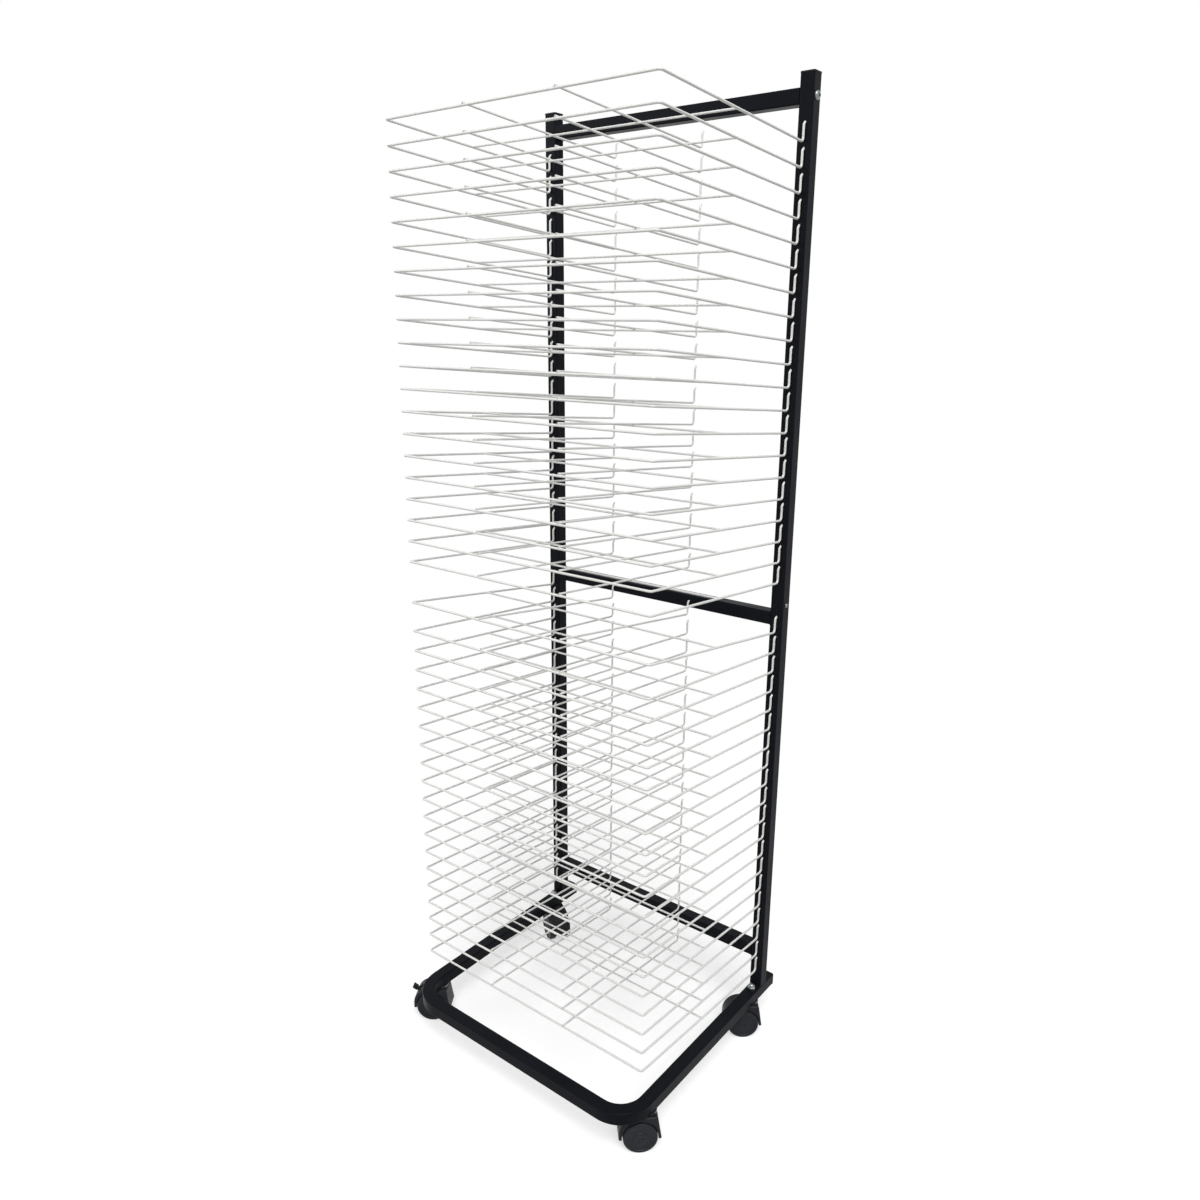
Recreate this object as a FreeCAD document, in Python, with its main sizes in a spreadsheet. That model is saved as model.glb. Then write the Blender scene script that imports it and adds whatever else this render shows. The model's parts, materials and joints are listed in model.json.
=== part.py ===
"""Art drying rack: forty wire shelves hooked into two square posts on a castored U-shaped base."""

import FreeCAD, Part
import math
import os

import Sketcher

Vector = FreeCAD.Vector
Rotation = FreeCAD.Rotation

# Driving sizes in millimetres, angles in degrees. Heights on the posts are taken from their feet.
SIZES = (
    # Frame
    ("rack_width", 555.0, "over the outside faces of the posts"),
    ("tube_width", 25.0, "side of every square tube"),
    ("tube_wall", 1.5, "wall of every square tube"),
    ("tube_corner", 2.5, "outside corner radius of the tubes"),
    ("tube_corner_inside", 1.0, "inside corner radius of the tubes"),
    ("post_length", 1673.0, "foot to top of a post without its cap"),
    ("bottom_rail_height", 65.0, "foot to underside of the bottom rail"),
    ("middle_rail_height", 770.0, "foot to underside of the middle rail"),
    ("top_rail_drop", 20.0, "top of a post to the top of the top rail"),
    ("rail_end_plate", 4.0, "tapped plate that closes each end of a rail"),
    ("base_reach", 450.0, "post face to the front face of the base tube"),
    ("base_bend", 57.5, "bend radius of the base tube on its centreline"),
    ("leg_overhang", 28.0, "post back face to the rear end of a leg"),
    # Plastic caps in the open tube ends
    ("cap_lip", 0.5, "overhang of a cap beyond the tube"),
    ("cap_plate", 2.5, "thickness of a cap's cover plate"),
    ("cap_plug", 14.0, "depth of a cap's plug in the tube"),
    ("cap_wall", 1.8, "wall of the hollow plug"),
    ("cap_fit", 0.15, "play between the plug and the tube's inside"),
    # Shelves
    ("shelves_per_bank", 20, "shelves above and below the middle gap"),
    ("shelf_pitch", 38.0, "height from one shelf to the next"),
    ("lowest_shelf", 36.0, "foot to the rear corner of the lowest shelf"),
    ("middle_gap", 93.0, "height from the lower bank to the upper bank"),
    ("raised_shelf", 2.4, "turn at which the top shelf of the lower bank is parked"),
    ("shelf_reach", 398.0, "post face to the centre of the front wire"),
    ("shelf_tilt", 4.8, "rise of a shelf towards its front"),
    ("frame_wire", 4.0, "diameter of the shelf's outer wire"),
    ("rib_wire", 3.5, "diameter of the inner and cross wires"),
    ("cross_wire_reach", 205.0, "post face to the cross wire"),
    ("rib_offset", 90.0, "middle of the rack to an inner wire"),
    ("rib_front_gap", 0.5, "front wire's outer edge to an inner wire's end"),
    ("front_corner", 5.0, "bend radius of the front corners"),
    ("rear_corner", 6.0, "bend radius of the rear corners"),
    ("tail_distance", 23.0, "post face to an inner wire's upright tail"),
    ("tail_rise", 22.0, "upright tail before its tip leans back"),
    ("tail_tip", 6.0, "length of the tail's leaning tip"),
    ("tail_lean", 35.0, "lean of the tail's tip"),
    # Hooks of the shelves in the posts
    ("hook_rise", 28.5, "shelf's rear corner to the middle of its hook hole"),
    ("hook_lean", 50.0, "hook away from upright"),
    ("hook_bend", 4.0, "bend radius of the hook"),
    ("hook_length", 12.0, "hook inside the post, from the wall's middle"),
    ("running_gap", 0.3, "play between pieces that move on each other"),
    # Bolts and screws through the posts
    ("bolt_diameter", 8.0, "shank of a top rail bolt"),
    ("thread_play", 0.1, "play of a thread in its tapped hole"),
    ("bolt_head", 15.0, "diameter of its domed head"),
    ("bolt_head_height", 4.5, "height of the domed head"),
    ("screw_diameter", 4.0, "shank of a post screw"),
    ("screw_head", 8.0, "diameter of its domed head"),
    ("screw_head_height", 2.4, "height of the screw's head"),
    ("screw_rise", 38.0, "underside of the middle rail to a post screw"),
    ("screw_length", 8.0, "screw shank behind the post's outside face"),
    # Casters
    ("caster_height", 74.0, "floor to the underside of the base tube"),
    ("front_caster_reach", 372.0, "post face to a front caster's stem"),
    ("rear_caster_reach", 14.0, "post face to a rear caster's stem"),
    ("wheel_diameter", 62.0, "tread diameter"),
    ("wheel_width", 15.0, "width of one wheel over its rim"),
    ("wheel_rounding", 3.0, "edge rounding of a wheel"),
    ("wheel_dish", 1.2, "depth of the dished ring in a wheel's outer face"),
    ("hub_diameter", 24.0, "raised hub inside the dished ring"),
    ("dish_diameter", 50.0, "outside of the dished ring"),
    ("wheel_trail", 17.0, "stem to axle, measured level"),
    ("axle_diameter", 8.0, "steel axle of a pair of wheels"),
    ("axle_seat", 10.0, "axle in each wheel"),
    ("axle_play", 0.05, "play between the axle and its seat in a wheel"),
    ("web_width", 17.0, "hood's web between the two wheels"),
    ("web_boss", 28.0, "web round the axle, below the hood"),
    ("web_gap", 0.8, "play between the web and each wheel"),
    ("hood_length", 76.0, "hood along the rolling direction"),
    ("hood_width", 42.0, "hood across the wheels"),
    ("hood_foot", 27.0, "floor to the lower edge of the hood"),
    ("hood_lean", 7.0, "hood's back wall leans in by this at the top"),
    ("hood_crown", 34.0, "rounding of the hood over the wheels"),
    ("hood_shoulder", 6.0, "rounding of the hood behind the stem"),
    ("hood_edge", 3.0, "rounding of the hood's sides"),
    ("wheel_well_gap", 1.6, "play between a wheel and the hood over it"),
    ("collar_diameter", 29.0, "zinc collar between hood and tube"),
    ("collar_thickness", 2.5, "thickness of the collar"),
    ("stem_diameter", 9.0, "stem in the tube and in the hood"),
    ("stem_head", 13.0, "retaining head at the stem's lower end"),
    ("stem_head_height", 3.0, "height of the retaining head"),
    ("stem_depth", 17.0, "collar's underside to the stem's lower end"),
    ("front_stem_rise", 16.0, "front stem inside the tube"),
    ("rear_stem_rise", 32.0, "rear stem through the tube into its nut"),
    ("nut_size", 14.0, "dome nut across its flats"),
    ("nut_height", 6.0, "hexagonal part of the dome nut"),
    ("nut_dome", 6.0, "dome above the hexagon"),
    ("nut_rim", 0.5, "flat rim of the hexagon round its dome"),
    ("nut_turn", 15.0, "turn of a nut's flats against the leg"),
    # Brake levers on the front casters
    ("lever_pivot_reach", 26.0, "axle to the lever's pivot, measured level"),
    ("lever_pivot_height", 54.0, "floor to the lever's pivot"),
    ("lever_barrel", 8.0, "diameter of the lever's barrel"),
    ("lever_width", 9.0, "width of the lever in the hood"),
    ("lever_thickness", 4.0, "thickness of the lever"),
    ("lever_reach", 20.0, "pivot to the tip of the lever"),
    ("lever_rise", 35.0, "lever's tilt above the level when it is up"),
    ("paddle_start", 9.5, "pivot to the lever's wider end"),
    ("paddle_width", 14.0, "width of the lever's wider end"),
    ("trunnion_diameter", 4.0, "lever's side pins"),
    ("trunnion_length", 2.5, "length of each side pin"),
    # Rolling directions of the parked casters, seen from above
    ("front_right_yaw", 223.0, "front right caster"),
    ("front_left_yaw", 214.0, "front left caster"),
    ("rear_right_yaw", 218.0, "rear right caster"),
    ("rear_left_yaw", 330.0, "rear left caster"),
)

document = FreeCAD.newDocument("ArtDryingRack")
sheet = document.addObject("Spreadsheet::Sheet", "Sizes")


def fill_sheet():
    """Writes one row per size: what it measures, its value, and the alias that names it."""
    rows = SIZES + (
        ("middle_x", 0.0, "middle of the rack, set from the finished outline"),
        ("post_face_y", 0.0, "front face of the posts, set from the finished outline"),
    )
    for row, (alias, value, meaning) in enumerate(rows, start=1):
        sheet.set(f"A{row}", meaning)
        sheet.set(f"B{row}", str(value))
        sheet.setAlias(f"B{row}", alias)
    document.recompute()


def size(expression):
    """Value of a sheet expression in which every word is an alias."""
    return float(sheet.evalExpression(expression))


def bound(expression):
    """The same expression as other objects of the document write it."""
    aliases = {alias for alias, _, _ in SIZES} | {"middle_x", "post_face_y"}
    words, word = [], ""
    for letter in expression + " ":
        if letter.isalnum() or letter == "_":
            word += letter
            continue
        words.append(f"Sizes.{word}" if word in aliases else word)
        words.append(letter)
        word = ""
    return "".join(words).strip()


def bind(thing, **expressions):
    """Binds properties of an object to sheet expressions."""
    for name, expression in expressions.items():
        thing.setExpression(name, bound(expression))


def place(thing, x="0", y="0", z="0", axis=(0, 0, 1), angle=0.0):
    """Places an object from the rack's datum: its middle, the posts' front face and the floor."""
    thing.Placement = FreeCAD.Placement(Vector(), Rotation(Vector(*axis), angle))
    thing.setExpression("Placement.Base.x", bound(f"middle_x + {x}"))
    thing.setExpression("Placement.Base.y", bound(f"post_face_y + {y}"))
    thing.setExpression("Placement.Base.z", bound(z))


# ---------------------------------------------------------------- sketches and bodies


def new_body(name):
    body = document.addObject("PartDesign::Body", name)
    body.Label = name
    return body


def origin_plane(body, role):
    return next(f for f in body.Origin.OriginFeatures if f.Role == role)


def new_sketch(body, name, plane="XY_Plane", offset=None):
    sketch = body.newObject("Sketcher::SketchObject", name)
    sketch.AttachmentSupport = [(origin_plane(body, plane), "")]
    sketch.MapMode = "FlatFace"
    if offset:
        sketch.setExpression("AttachmentOffset.Base.z", bound(offset))
    return sketch


def pin_point(sketch, geometry, end, x=None, y=None):
    """Holds a point of the sketch at coordinates given by sheet expressions."""
    for kind, expression in (("DistanceX", x), ("DistanceY", y)):
        if expression is None:
            continue
        index = sketch.addConstraint(
            Sketcher.Constraint(kind, -1, 1, geometry, end, size(expression))
        )
        sketch.setExpression(f"Constraints[{index}]", bound(expression))


def polygon(sketch, corners):
    """A closed outline of straight edges through corners given as pairs of expressions."""
    points = [Vector(size(x), size(y), 0) for x, y in corners]
    count = len(points)
    first = sketch.GeometryCount
    for n in range(count):
        sketch.addGeometry(Part.LineSegment(points[n], points[(n + 1) % count]), False)
    for n, (x, y) in enumerate(corners):
        sketch.addConstraint(
            Sketcher.Constraint("Coincident", first + n, 1, first + (n - 1) % count, 2)
        )
        pin_point(sketch, first + n, 1, x, y)


def circle(sketch, x, y, diameter):
    geometry = sketch.addGeometry(
        Part.Circle(Vector(size(x), size(y), 0), Vector(0, 0, 1), size(diameter) / 2), False
    )
    pin_point(sketch, geometry, 3, x, y)
    index = sketch.addConstraint(Sketcher.Constraint("Diameter", geometry, size(diameter)))
    sketch.setExpression(f"Constraints[{index}]", bound(diameter))


def rounded_square(sketch, x, y, side, corner):
    """A square with rounded corners about the point x, y."""
    centre_x, centre_y = size(x), size(y)
    half, radius = size(side) / 2, size(corner)
    reach = half - radius
    first = sketch.GeometryCount
    for n in range(4):
        turn = Rotation(Vector(0, 0, 1), 90 * n)
        centre = Vector(centre_x, centre_y, 0)
        start = centre + turn.multVec(Vector(-reach, -half, 0))
        stop = centre + turn.multVec(Vector(reach, -half, 0))
        sketch.addGeometry(Part.LineSegment(start, stop), False)
        bend = Part.Circle(
            centre + turn.multVec(Vector(reach, -reach, 0)), Vector(0, 0, 1), radius
        )
        begin = math.radians(90 * n - 90)
        sketch.addGeometry(Part.ArcOfCircle(bend, begin, begin + math.pi / 2), False)
    for n in range(4):
        line, arc = first + 2 * n, first + 2 * n + 1
        following = first + (2 * n + 2) % 8
        sketch.addConstraint(Sketcher.Constraint("Tangent", line, 2, arc, 1))
        sketch.addConstraint(Sketcher.Constraint("Tangent", arc, 2, following, 1))
        sketch.addConstraint(Sketcher.Constraint(("Horizontal", "Vertical")[n % 2], line))
        if n:
            sketch.addConstraint(Sketcher.Constraint("Equal", first + 1, arc))
    index = sketch.addConstraint(Sketcher.Constraint("Radius", first + 1, radius))
    sketch.setExpression(f"Constraints[{index}]", bound(corner))
    pin_point(sketch, first, 1, y=f"{y} - {side} / 2")
    pin_point(sketch, first + 2, 1, x=f"{x} + {side} / 2")
    pin_point(sketch, first + 4, 1, y=f"{y} + {side} / 2")
    pin_point(sketch, first + 6, 1, x=f"{x} - {side} / 2")


def tube_section(sketch, x="0", y="0"):
    """The outside and inside outline of the square tube."""
    rounded_square(sketch, x, y, "tube_width", "tube_corner")
    rounded_square(sketch, x, y, "(tube_width - 2 * tube_wall)", "tube_corner_inside")


def pad(body, sketch, length, name="Pad", midplane=False):
    feature = body.newObject("PartDesign::Pad", name)
    feature.Profile = sketch
    feature.Midplane = midplane
    bind(feature, Length=length)
    return feature


def pocket(body, sketch, name, length=None, reverse=False, midplane=False):
    """Cuts a sketch out of a body: to a length, or through everything on one side."""
    before = body_volume(body)
    feature = body.newObject("PartDesign::Pocket", name)
    feature.Profile = sketch
    feature.Reversed = reverse
    feature.Midplane = midplane
    if length:
        bind(feature, Length=length)
    else:
        feature.Type = "ThroughAll"
    if body_volume(body) >= before:
        raise RuntimeError(f"{body.Label}: {name} cuts nothing")
    return feature


def body_volume(body):
    document.recompute()
    return body.Shape.Volume


def round_edges(body, wanted, radius, name):
    """Rounds the edges that the test function picks."""
    document.recompute()
    last = body.Tip
    names = [f"Edge{n}" for n, edge in enumerate(last.Shape.Edges, start=1) if wanted(edge)]
    feature = body.newObject("PartDesign::Fillet", name)
    feature.Base = (last, names)
    bind(feature, Radius=radius)
    return feature


def primitive(kind, name, **expressions):
    """A Part primitive whose sizes are sheet expressions."""
    thing = document.addObject(f"Part::{kind}", name)
    bind(thing, **expressions)
    return thing


def at(thing, x="0", y="0", z="0", axis=(0, 0, 1), angle=0.0):
    """Puts a primitive at a place in the piece it helps to make."""
    thing.Placement = FreeCAD.Placement(Vector(), Rotation(Vector(*axis), angle))
    for letter, expression in zip("xyz", (x, y, z)):
        thing.setExpression(f"Placement.Base.{letter}", bound(expression))
    return thing


def fuse(name, *things):
    result = document.addObject("Part::MultiFuse", name)
    result.Shapes = list(things)
    result.Refine = True
    return result


def cut(name, base, tool):
    result = document.addObject("Part::Cut", name)
    result.Base = base
    result.Tool = tool
    result.Refine = True
    return result


def common(name, base, tool):
    result = document.addObject("Part::Common", name)
    result.Base = base
    result.Tool = tool
    return result


def group_node(name, members):
    """Like fasteners as separate solids of one node: pairs of a master and its placement."""
    document.recompute()
    node = document.addObject("Part::Feature", name)
    node.Shape = Part.makeCompound(
        [master.Shape.transformed(where.toMatrix(), True) for master, where in members]
    )
    place(node)
    return node


# ---------------------------------------------------------------- frame of square tube

POST_X = "(rack_width - tube_width) / 2"
FOOT_Z = "(caster_height + tube_width)"
LEG_END = "(tube_width + leg_overhang)"
TOP_RAIL = "(post_length - top_rail_drop - tube_width)"
BOLT_HEIGHT = f"({TOP_RAIL} + tube_width / 2)"
SCREW_HEIGHT = "(middle_rail_height + screw_rise)"
HOOK_HOLE = (
    "2 * (frame_wire / 2 / sin(hook_lean * 1 deg)"
    " + tube_wall / 2 / tan(hook_lean * 1 deg) + running_gap)"
)
SIDES = (("left", -1), ("right", 1))


def square_tube(name, length):
    """A length of square tube standing on its end."""
    body = new_body(name)
    section = new_sketch(body, f"{name}_section")
    tube_section(section)
    pad(body, section, length)
    return body


def hook_holes(body, name, first_height):
    """One bank of holes through the front wall, from the tube's middle outwards."""
    sketch = new_sketch(body, f"{name}_sketch", "XZ_Plane")
    circle(sketch, "0", first_height, HOOK_HOLE)
    holes = pocket(body, sketch, f"{name}_hole", reverse=True)
    bank = body.newObject("PartDesign::LinearPattern", name)
    bank.Originals = [holes]
    bank.Direction = (origin_plane(body, "Z_Axis"), [""])
    bind(bank, Length="shelf_pitch * (shelves_per_bank - 1)", Occurrences="shelves_per_bank")
    body.Tip = bank


def post(side, sign):
    """A post with its two banks of hook holes and the holes for its bolt and its screw."""
    body = square_tube(f"{side}_post", "post_length")
    hook_holes(body, f"{side}_lower_holes", "lowest_shelf + hook_rise")
    upper = "lowest_shelf + shelf_pitch * (shelves_per_bank - 1) + middle_gap + hook_rise"
    hook_holes(body, f"{side}_upper_holes", upper)
    bolt_hole = new_sketch(body, f"{side}_bolt_hole_sketch", "YZ_Plane")
    circle(bolt_hole, "0", BOLT_HEIGHT, "bolt_diameter + 2 * running_gap")
    pocket(body, bolt_hole, f"{side}_bolt_hole", "2 * tube_width", midplane=True)
    screw_hole = new_sketch(body, f"{side}_screw_hole_sketch", "YZ_Plane")
    circle(screw_hole, "0", SCREW_HEIGHT, "screw_diameter + 2 * running_gap")
    pocket(body, screw_hole, f"{side}_screw_hole", reverse=sign > 0)
    place(body, f"{sign} * {POST_X}", "tube_width / 2", FOOT_Z)
    return body


def rail(name, height, tapped=False):
    """A rail between the posts, closed at both ends by a plate; the top rail's are tapped."""
    length = "(rack_width - 2 * tube_width)"
    body = square_tube(name, length)
    for end, start in (("near", None), ("far", f"{length} - rail_end_plate")):
        plate = new_sketch(body, f"{name}_{end}_plate_sketch", offset=start)
        rounded_square(plate, "0", "0", "(tube_width - 2 * tube_wall)", "tube_corner_inside")
        pad(body, plate, "rail_end_plate", f"{name}_{end}_plate")
    if tapped:
        bore = new_sketch(body, f"{name}_tapping_sketch")
        circle(bore, "0", "0", "bolt_diameter + 2 * thread_play")
        pocket(body, bore, f"{name}_tapping", "2 * rack_width", midplane=True)
    place(
        body,
        "(tube_width - rack_width / 2)",
        "tube_width / 2",
        f"{FOOT_Z} + {height} + tube_width / 2",
    )
    body.Placement.Rotation = Rotation(Vector(0, 1, 0), 90)
    return body


def base_path(sketch):
    """Centreline of the base: a leg forward, the front, and a leg back, with round bends."""
    side, front, back = size(POST_X), -size("base_reach - tube_width / 2"), size(LEG_END)
    bend = size("base_bend")
    up = Vector(0, 0, 1)
    corner = front + bend
    pieces = (
        Part.LineSegment(Vector(-side, back, 0), Vector(-side, corner, 0)),
        Part.ArcOfCircle(
            Part.Circle(Vector(bend - side, corner, 0), up, bend), math.pi, 1.5 * math.pi
        ),
        Part.LineSegment(Vector(bend - side, front, 0), Vector(side - bend, front, 0)),
        Part.ArcOfCircle(
            Part.Circle(Vector(side - bend, corner, 0), up, bend), 1.5 * math.pi, 2 * math.pi
        ),
        Part.LineSegment(Vector(side, corner, 0), Vector(side, back, 0)),
    )
    for piece in pieces:
        sketch.addGeometry(piece, False)
    for n in range(4):
        sketch.addConstraint(Sketcher.Constraint("Tangent", n, 2, n + 1, 1))
    sketch.addConstraint(Sketcher.Constraint("Vertical", 0))
    sketch.addConstraint(Sketcher.Constraint("Horizontal", 2))
    sketch.addConstraint(Sketcher.Constraint("Vertical", 4))
    sketch.addConstraint(Sketcher.Constraint("Equal", 1, 3))
    index = sketch.addConstraint(Sketcher.Constraint("Radius", 1, bend))
    sketch.setExpression(f"Constraints[{index}]", bound("base_bend"))
    pin_point(sketch, 0, 1, f"-({POST_X})", LEG_END)
    pin_point(sketch, 2, 1, y="tube_width / 2 - base_reach")
    pin_point(sketch, 4, 2, POST_X, LEG_END)


def base_tube():
    """The U-shaped base, bent from one length of square tube, with the holes for the stems."""
    body = new_body("base_tube")
    path = new_sketch(body, "base_path")
    base_path(path)
    section = new_sketch(body, "base_section", "XZ_Plane", f"-{LEG_END}")
    tube_section(section, f"-({POST_X})", "0")
    document.recompute()
    sweep = body.newObject("PartDesign::AdditivePipe", "base_sweep")
    sweep.Profile = section
    sweep.Spine = (path, [""])
    for name, reach, bore in (
        ("front", "front_caster_reach", None),
        ("rear", "rear_caster_reach", "through"),
    ):
        for side, sign in SIDES:
            hole = new_sketch(body, f"{side}_{name}_stem_sketch")
            circle(hole, f"{sign} * {POST_X}", f"-{reach}", "stem_diameter + 2 * running_gap")
            if bore:
                pocket(body, hole, f"{side}_{name}_stem_hole", "2 * tube_width", midplane=True)
            else:
                pocket(body, hole, f"{side}_{name}_stem_hole")
    place(body, z="caster_height + tube_width / 2")
    return body


def end_caps():
    """Plugs with a thin cover plate in the post tops and the rear ends of the legs."""
    body = new_body("end_cap_master")
    plug = new_sketch(body, "cap_plug_sketch")
    inside = "(tube_width - 2 * tube_wall - 2 * cap_fit)"
    rounded_square(plug, "0", "0", inside, "tube_corner_inside")
    rounded_square(plug, "0", "0", f"({inside} - 2 * cap_wall)", "tube_corner_inside / 2")
    stem = pad(body, plug, "cap_plug")
    stem.Reversed = True
    plate = new_sketch(body, "cap_plate_sketch")
    rounded_square(plate, "0", "0", "(tube_width + 2 * cap_lip)", "tube_corner + cap_lip")
    pad(body, plate, "cap_plate", "cap_plate_pad")
    half = size("tube_width / 2")
    top, leg = size(f"{FOOT_Z} + post_length"), size(LEG_END)
    members = []
    for _, sign in SIDES:
        x = sign * size(POST_X)
        members.append((body, FreeCAD.Placement(Vector(x, half, top), Rotation())))
        rear = Vector(x, leg, size("caster_height") + half)
        members.append((body, FreeCAD.Placement(rear, Rotation(Vector(1, 0, 0), -90))))
    return group_node("end_caps", members)


# ---------------------------------------------------------------- bolts, screws and nuts


def domed_screw(name, shank, length, head, height):
    """A screw along X: a low domed head whose flat rests at X = 0 and a plain shank behind it."""
    ball = primitive("Sphere", f"{name}_ball", Radius=f"({head} * {head} / 4 / {height} + {height}) / 2")
    at(ball, x=f"{height} - ({head} * {head} / 4 / {height} + {height}) / 2")
    disc = primitive("Cylinder", f"{name}_disc", Radius=f"{head} / 2", Height=height)
    at(disc, axis=(0, 1, 0), angle=90)
    dome = common(f"{name}_dome", ball, disc)
    rod = primitive("Cylinder", f"{name}_rod", Radius=f"{shank} / 2", Height=length)
    at(rod, axis=(0, 1, 0), angle=-90)
    return fuse(name, dome, rod)


def frame_bolts():
    """Two bolts through the posts into the top rail and the two screws of the posts."""
    bolt = domed_screw(
        "bolt_master",
        "bolt_diameter",
        "tube_width + rail_end_plate + bolt_diameter / 2",
        "bolt_head",
        "bolt_head_height",
    )
    screw = domed_screw(
        "screw_master", "screw_diameter", "screw_length", "screw_head", "screw_head_height"
    )
    outside, middle, foot = size("rack_width / 2"), size("tube_width / 2"), size(FOOT_Z)
    members = []
    for _, sign in SIDES:
        turn = Rotation(Vector(0, 0, 1), 0 if sign > 0 else 180)
        for master, height in ((bolt, BOLT_HEIGHT), (screw, SCREW_HEIGHT)):
            where = Vector(sign * outside, middle, foot + size(height))
            members.append((master, FreeCAD.Placement(where, turn)))
    return group_node("frame_bolts", members)


def caster_nuts():
    """Domed nuts on the rear stems, on top of the legs."""
    body = new_body("dome_nut_master")
    sketch = new_sketch(body, "nut_sketch")
    corner = "nut_size / 2 / cos(30 deg)"
    polygon(
        sketch,
        [
            (f"{corner} * cos({60 * n} deg)", f"{corner} * sin({60 * n} deg)")
            for n in range(6)
        ],
    )
    pad(body, sketch, "nut_height")
    ball = primitive("Sphere", "nut_ball", Radius="nut_size / 2 - nut_rim")
    at(ball, z="nut_height")
    room = primitive("Cylinder", "nut_ball_room", Radius="nut_size", Height="nut_dome")
    at(room, z="nut_height")
    dome = common("nut_dome_cap", ball, room)
    solid = fuse("nut_solid", body, dome)
    bore = primitive(
        "Cylinder",
        "nut_bore",
        Radius="stem_diameter / 2 + thread_play",
        Height="rear_stem_rise - tube_width + running_gap",
    )
    nut = cut("nut_master", solid, bore)
    members = []
    for _, sign in SIDES:
        where = Vector(sign * size(POST_X), -size("rear_caster_reach"), size(FOOT_Z))
        turn = Rotation(Vector(0, 0, 1), sign * size("nut_turn"))
        members.append((nut, FreeCAD.Placement(where, turn)))
    return group_node("caster_nuts", members)


# ---------------------------------------------------------------- casters

CASTERS = (
    ("front_left", -1, "front_caster_reach", "front_left_yaw", True),
    ("front_right", 1, "front_caster_reach", "front_right_yaw", True),
    ("rear_left", -1, "rear_caster_reach", "rear_left_yaw", False),
    ("rear_right", 1, "rear_caster_reach", "rear_right_yaw", False),
)
HOOD_TOP = "(caster_height - collar_thickness - running_gap)"
TOUCH = 0.01  # two lengths nearer than this, in millimetres, are taken as the same
AXLE_HALF = "(web_width / 2 + web_gap + axle_seat)"


def stem(name, rise):
    """A stem with its collar under the tube and its retaining head inside the hood."""
    shank = primitive(
        "Cylinder",
        f"{name}_shank",
        Radius="stem_diameter / 2",
        Height=f"{rise} + collar_thickness + stem_depth",
    )
    at(shank, z="-(collar_thickness + stem_depth)")
    collar = primitive(
        "Cylinder", f"{name}_collar", Radius="collar_diameter / 2", Height="collar_thickness"
    )
    at(collar, z="-collar_thickness")
    head = primitive(
        "Cylinder", f"{name}_head", Radius="stem_head / 2", Height="stem_head_height"
    )
    at(head, z="-(collar_thickness + stem_depth)")
    return fuse(name, shank, collar, head)


def caster_stems():
    """The four stems: short ones in the front of the base, long ones for the rear nuts."""
    front = stem("front_stem_master", "front_stem_rise")
    rear = stem("rear_stem_master", "rear_stem_rise")
    members = []
    for _, sign, reach, _, braked in CASTERS:
        where = Vector(sign * size(POST_X), -size(reach), size("caster_height"))
        members.append((front if braked else rear, FreeCAD.Placement(where, Rotation())))
    return group_node("caster_stems", members)


def hood_form(name):
    """The hood before it is hollowed, with its rolling direction along X and the stem at 0, 0."""
    body = new_body(f"{name}_form")
    side = new_sketch(body, f"{name}_side", "XZ_Plane")
    back = "(wheel_trail - hood_length / 2)"
    front = "(wheel_trail + hood_length / 2)"
    polygon(
        side,
        (
            (back, "hood_foot"),
            (front, "hood_foot"),
            (front, HOOD_TOP),
            (f"{back} + hood_lean", HOOD_TOP),
        ),
    )
    pad(body, side, "hood_width", midplane=True)
    top = size(HOOD_TOP)

    def upper_end(edge):
        box = edge.BoundBox
        return box.YLength > TOUCH and box.ZMin > top - TOUCH and box.ZLength < TOUCH

    def front_end(edge):
        return upper_end(edge) and edge.BoundBox.XMin > 0

    def back_end(edge):
        return upper_end(edge) and edge.BoundBox.XMax < 0

    round_edges(body, front_end, "hood_crown", f"{name}_crown")
    round_edges(body, back_end, "hood_shoulder", f"{name}_shoulder")

    def side_edge(edge):
        box = edge.BoundBox
        return box.YLength < TOUCH and box.ZMax > size("hood_foot") + TOUCH

    round_edges(body, side_edge, "hood_edge", f"{name}_rounding")
    boss = primitive("Cylinder", f"{name}_boss", Radius="web_boss / 2", Height="web_width")
    at(boss, "wheel_trail", "-web_width / 2", "wheel_diameter / 2", (1, 0, 0), -90)
    return fuse(f"{name}_solid", body, boss)


def wheel_wells(name):
    """The room for the two wheels, one each side of the web."""
    radius = "wheel_diameter / 2 + wheel_well_gap"
    wells = []
    for side, sign in SIDES:
        well = primitive("Cylinder", f"{name}_{side}_well", Radius=radius, Height="hood_width")
        start = f"{sign} * web_width / 2"
        at(well, "wheel_trail", start, "wheel_diameter / 2", (1, 0, 0), -90 * sign)
        wells.append(well)
    return wells


def socket(name):
    """The bore for the stem, with the wider room for its head."""
    bore = primitive(
        "Cylinder",
        f"{name}_bore",
        Radius="stem_diameter / 2 + running_gap",
        Height="stem_depth + collar_thickness",
    )
    at(bore, z=f"{HOOD_TOP} - stem_depth")
    room = primitive(
        "Cylinder",
        f"{name}_head_room",
        Radius="stem_head / 2 + running_gap",
        Height="stem_head_height + 2 * running_gap",
    )
    at(room, z=f"{HOOD_TOP} - stem_depth")
    return [bore, room]


def axle_bore(name):
    bore = primitive(
        "Cylinder",
        f"{name}_axle_bore",
        Radius="axle_diameter / 2 + running_gap",
        Height="hood_width",
    )
    at(bore, "wheel_trail", "-hood_width / 2", "wheel_diameter / 2", (1, 0, 0), -90)
    return bore


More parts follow.
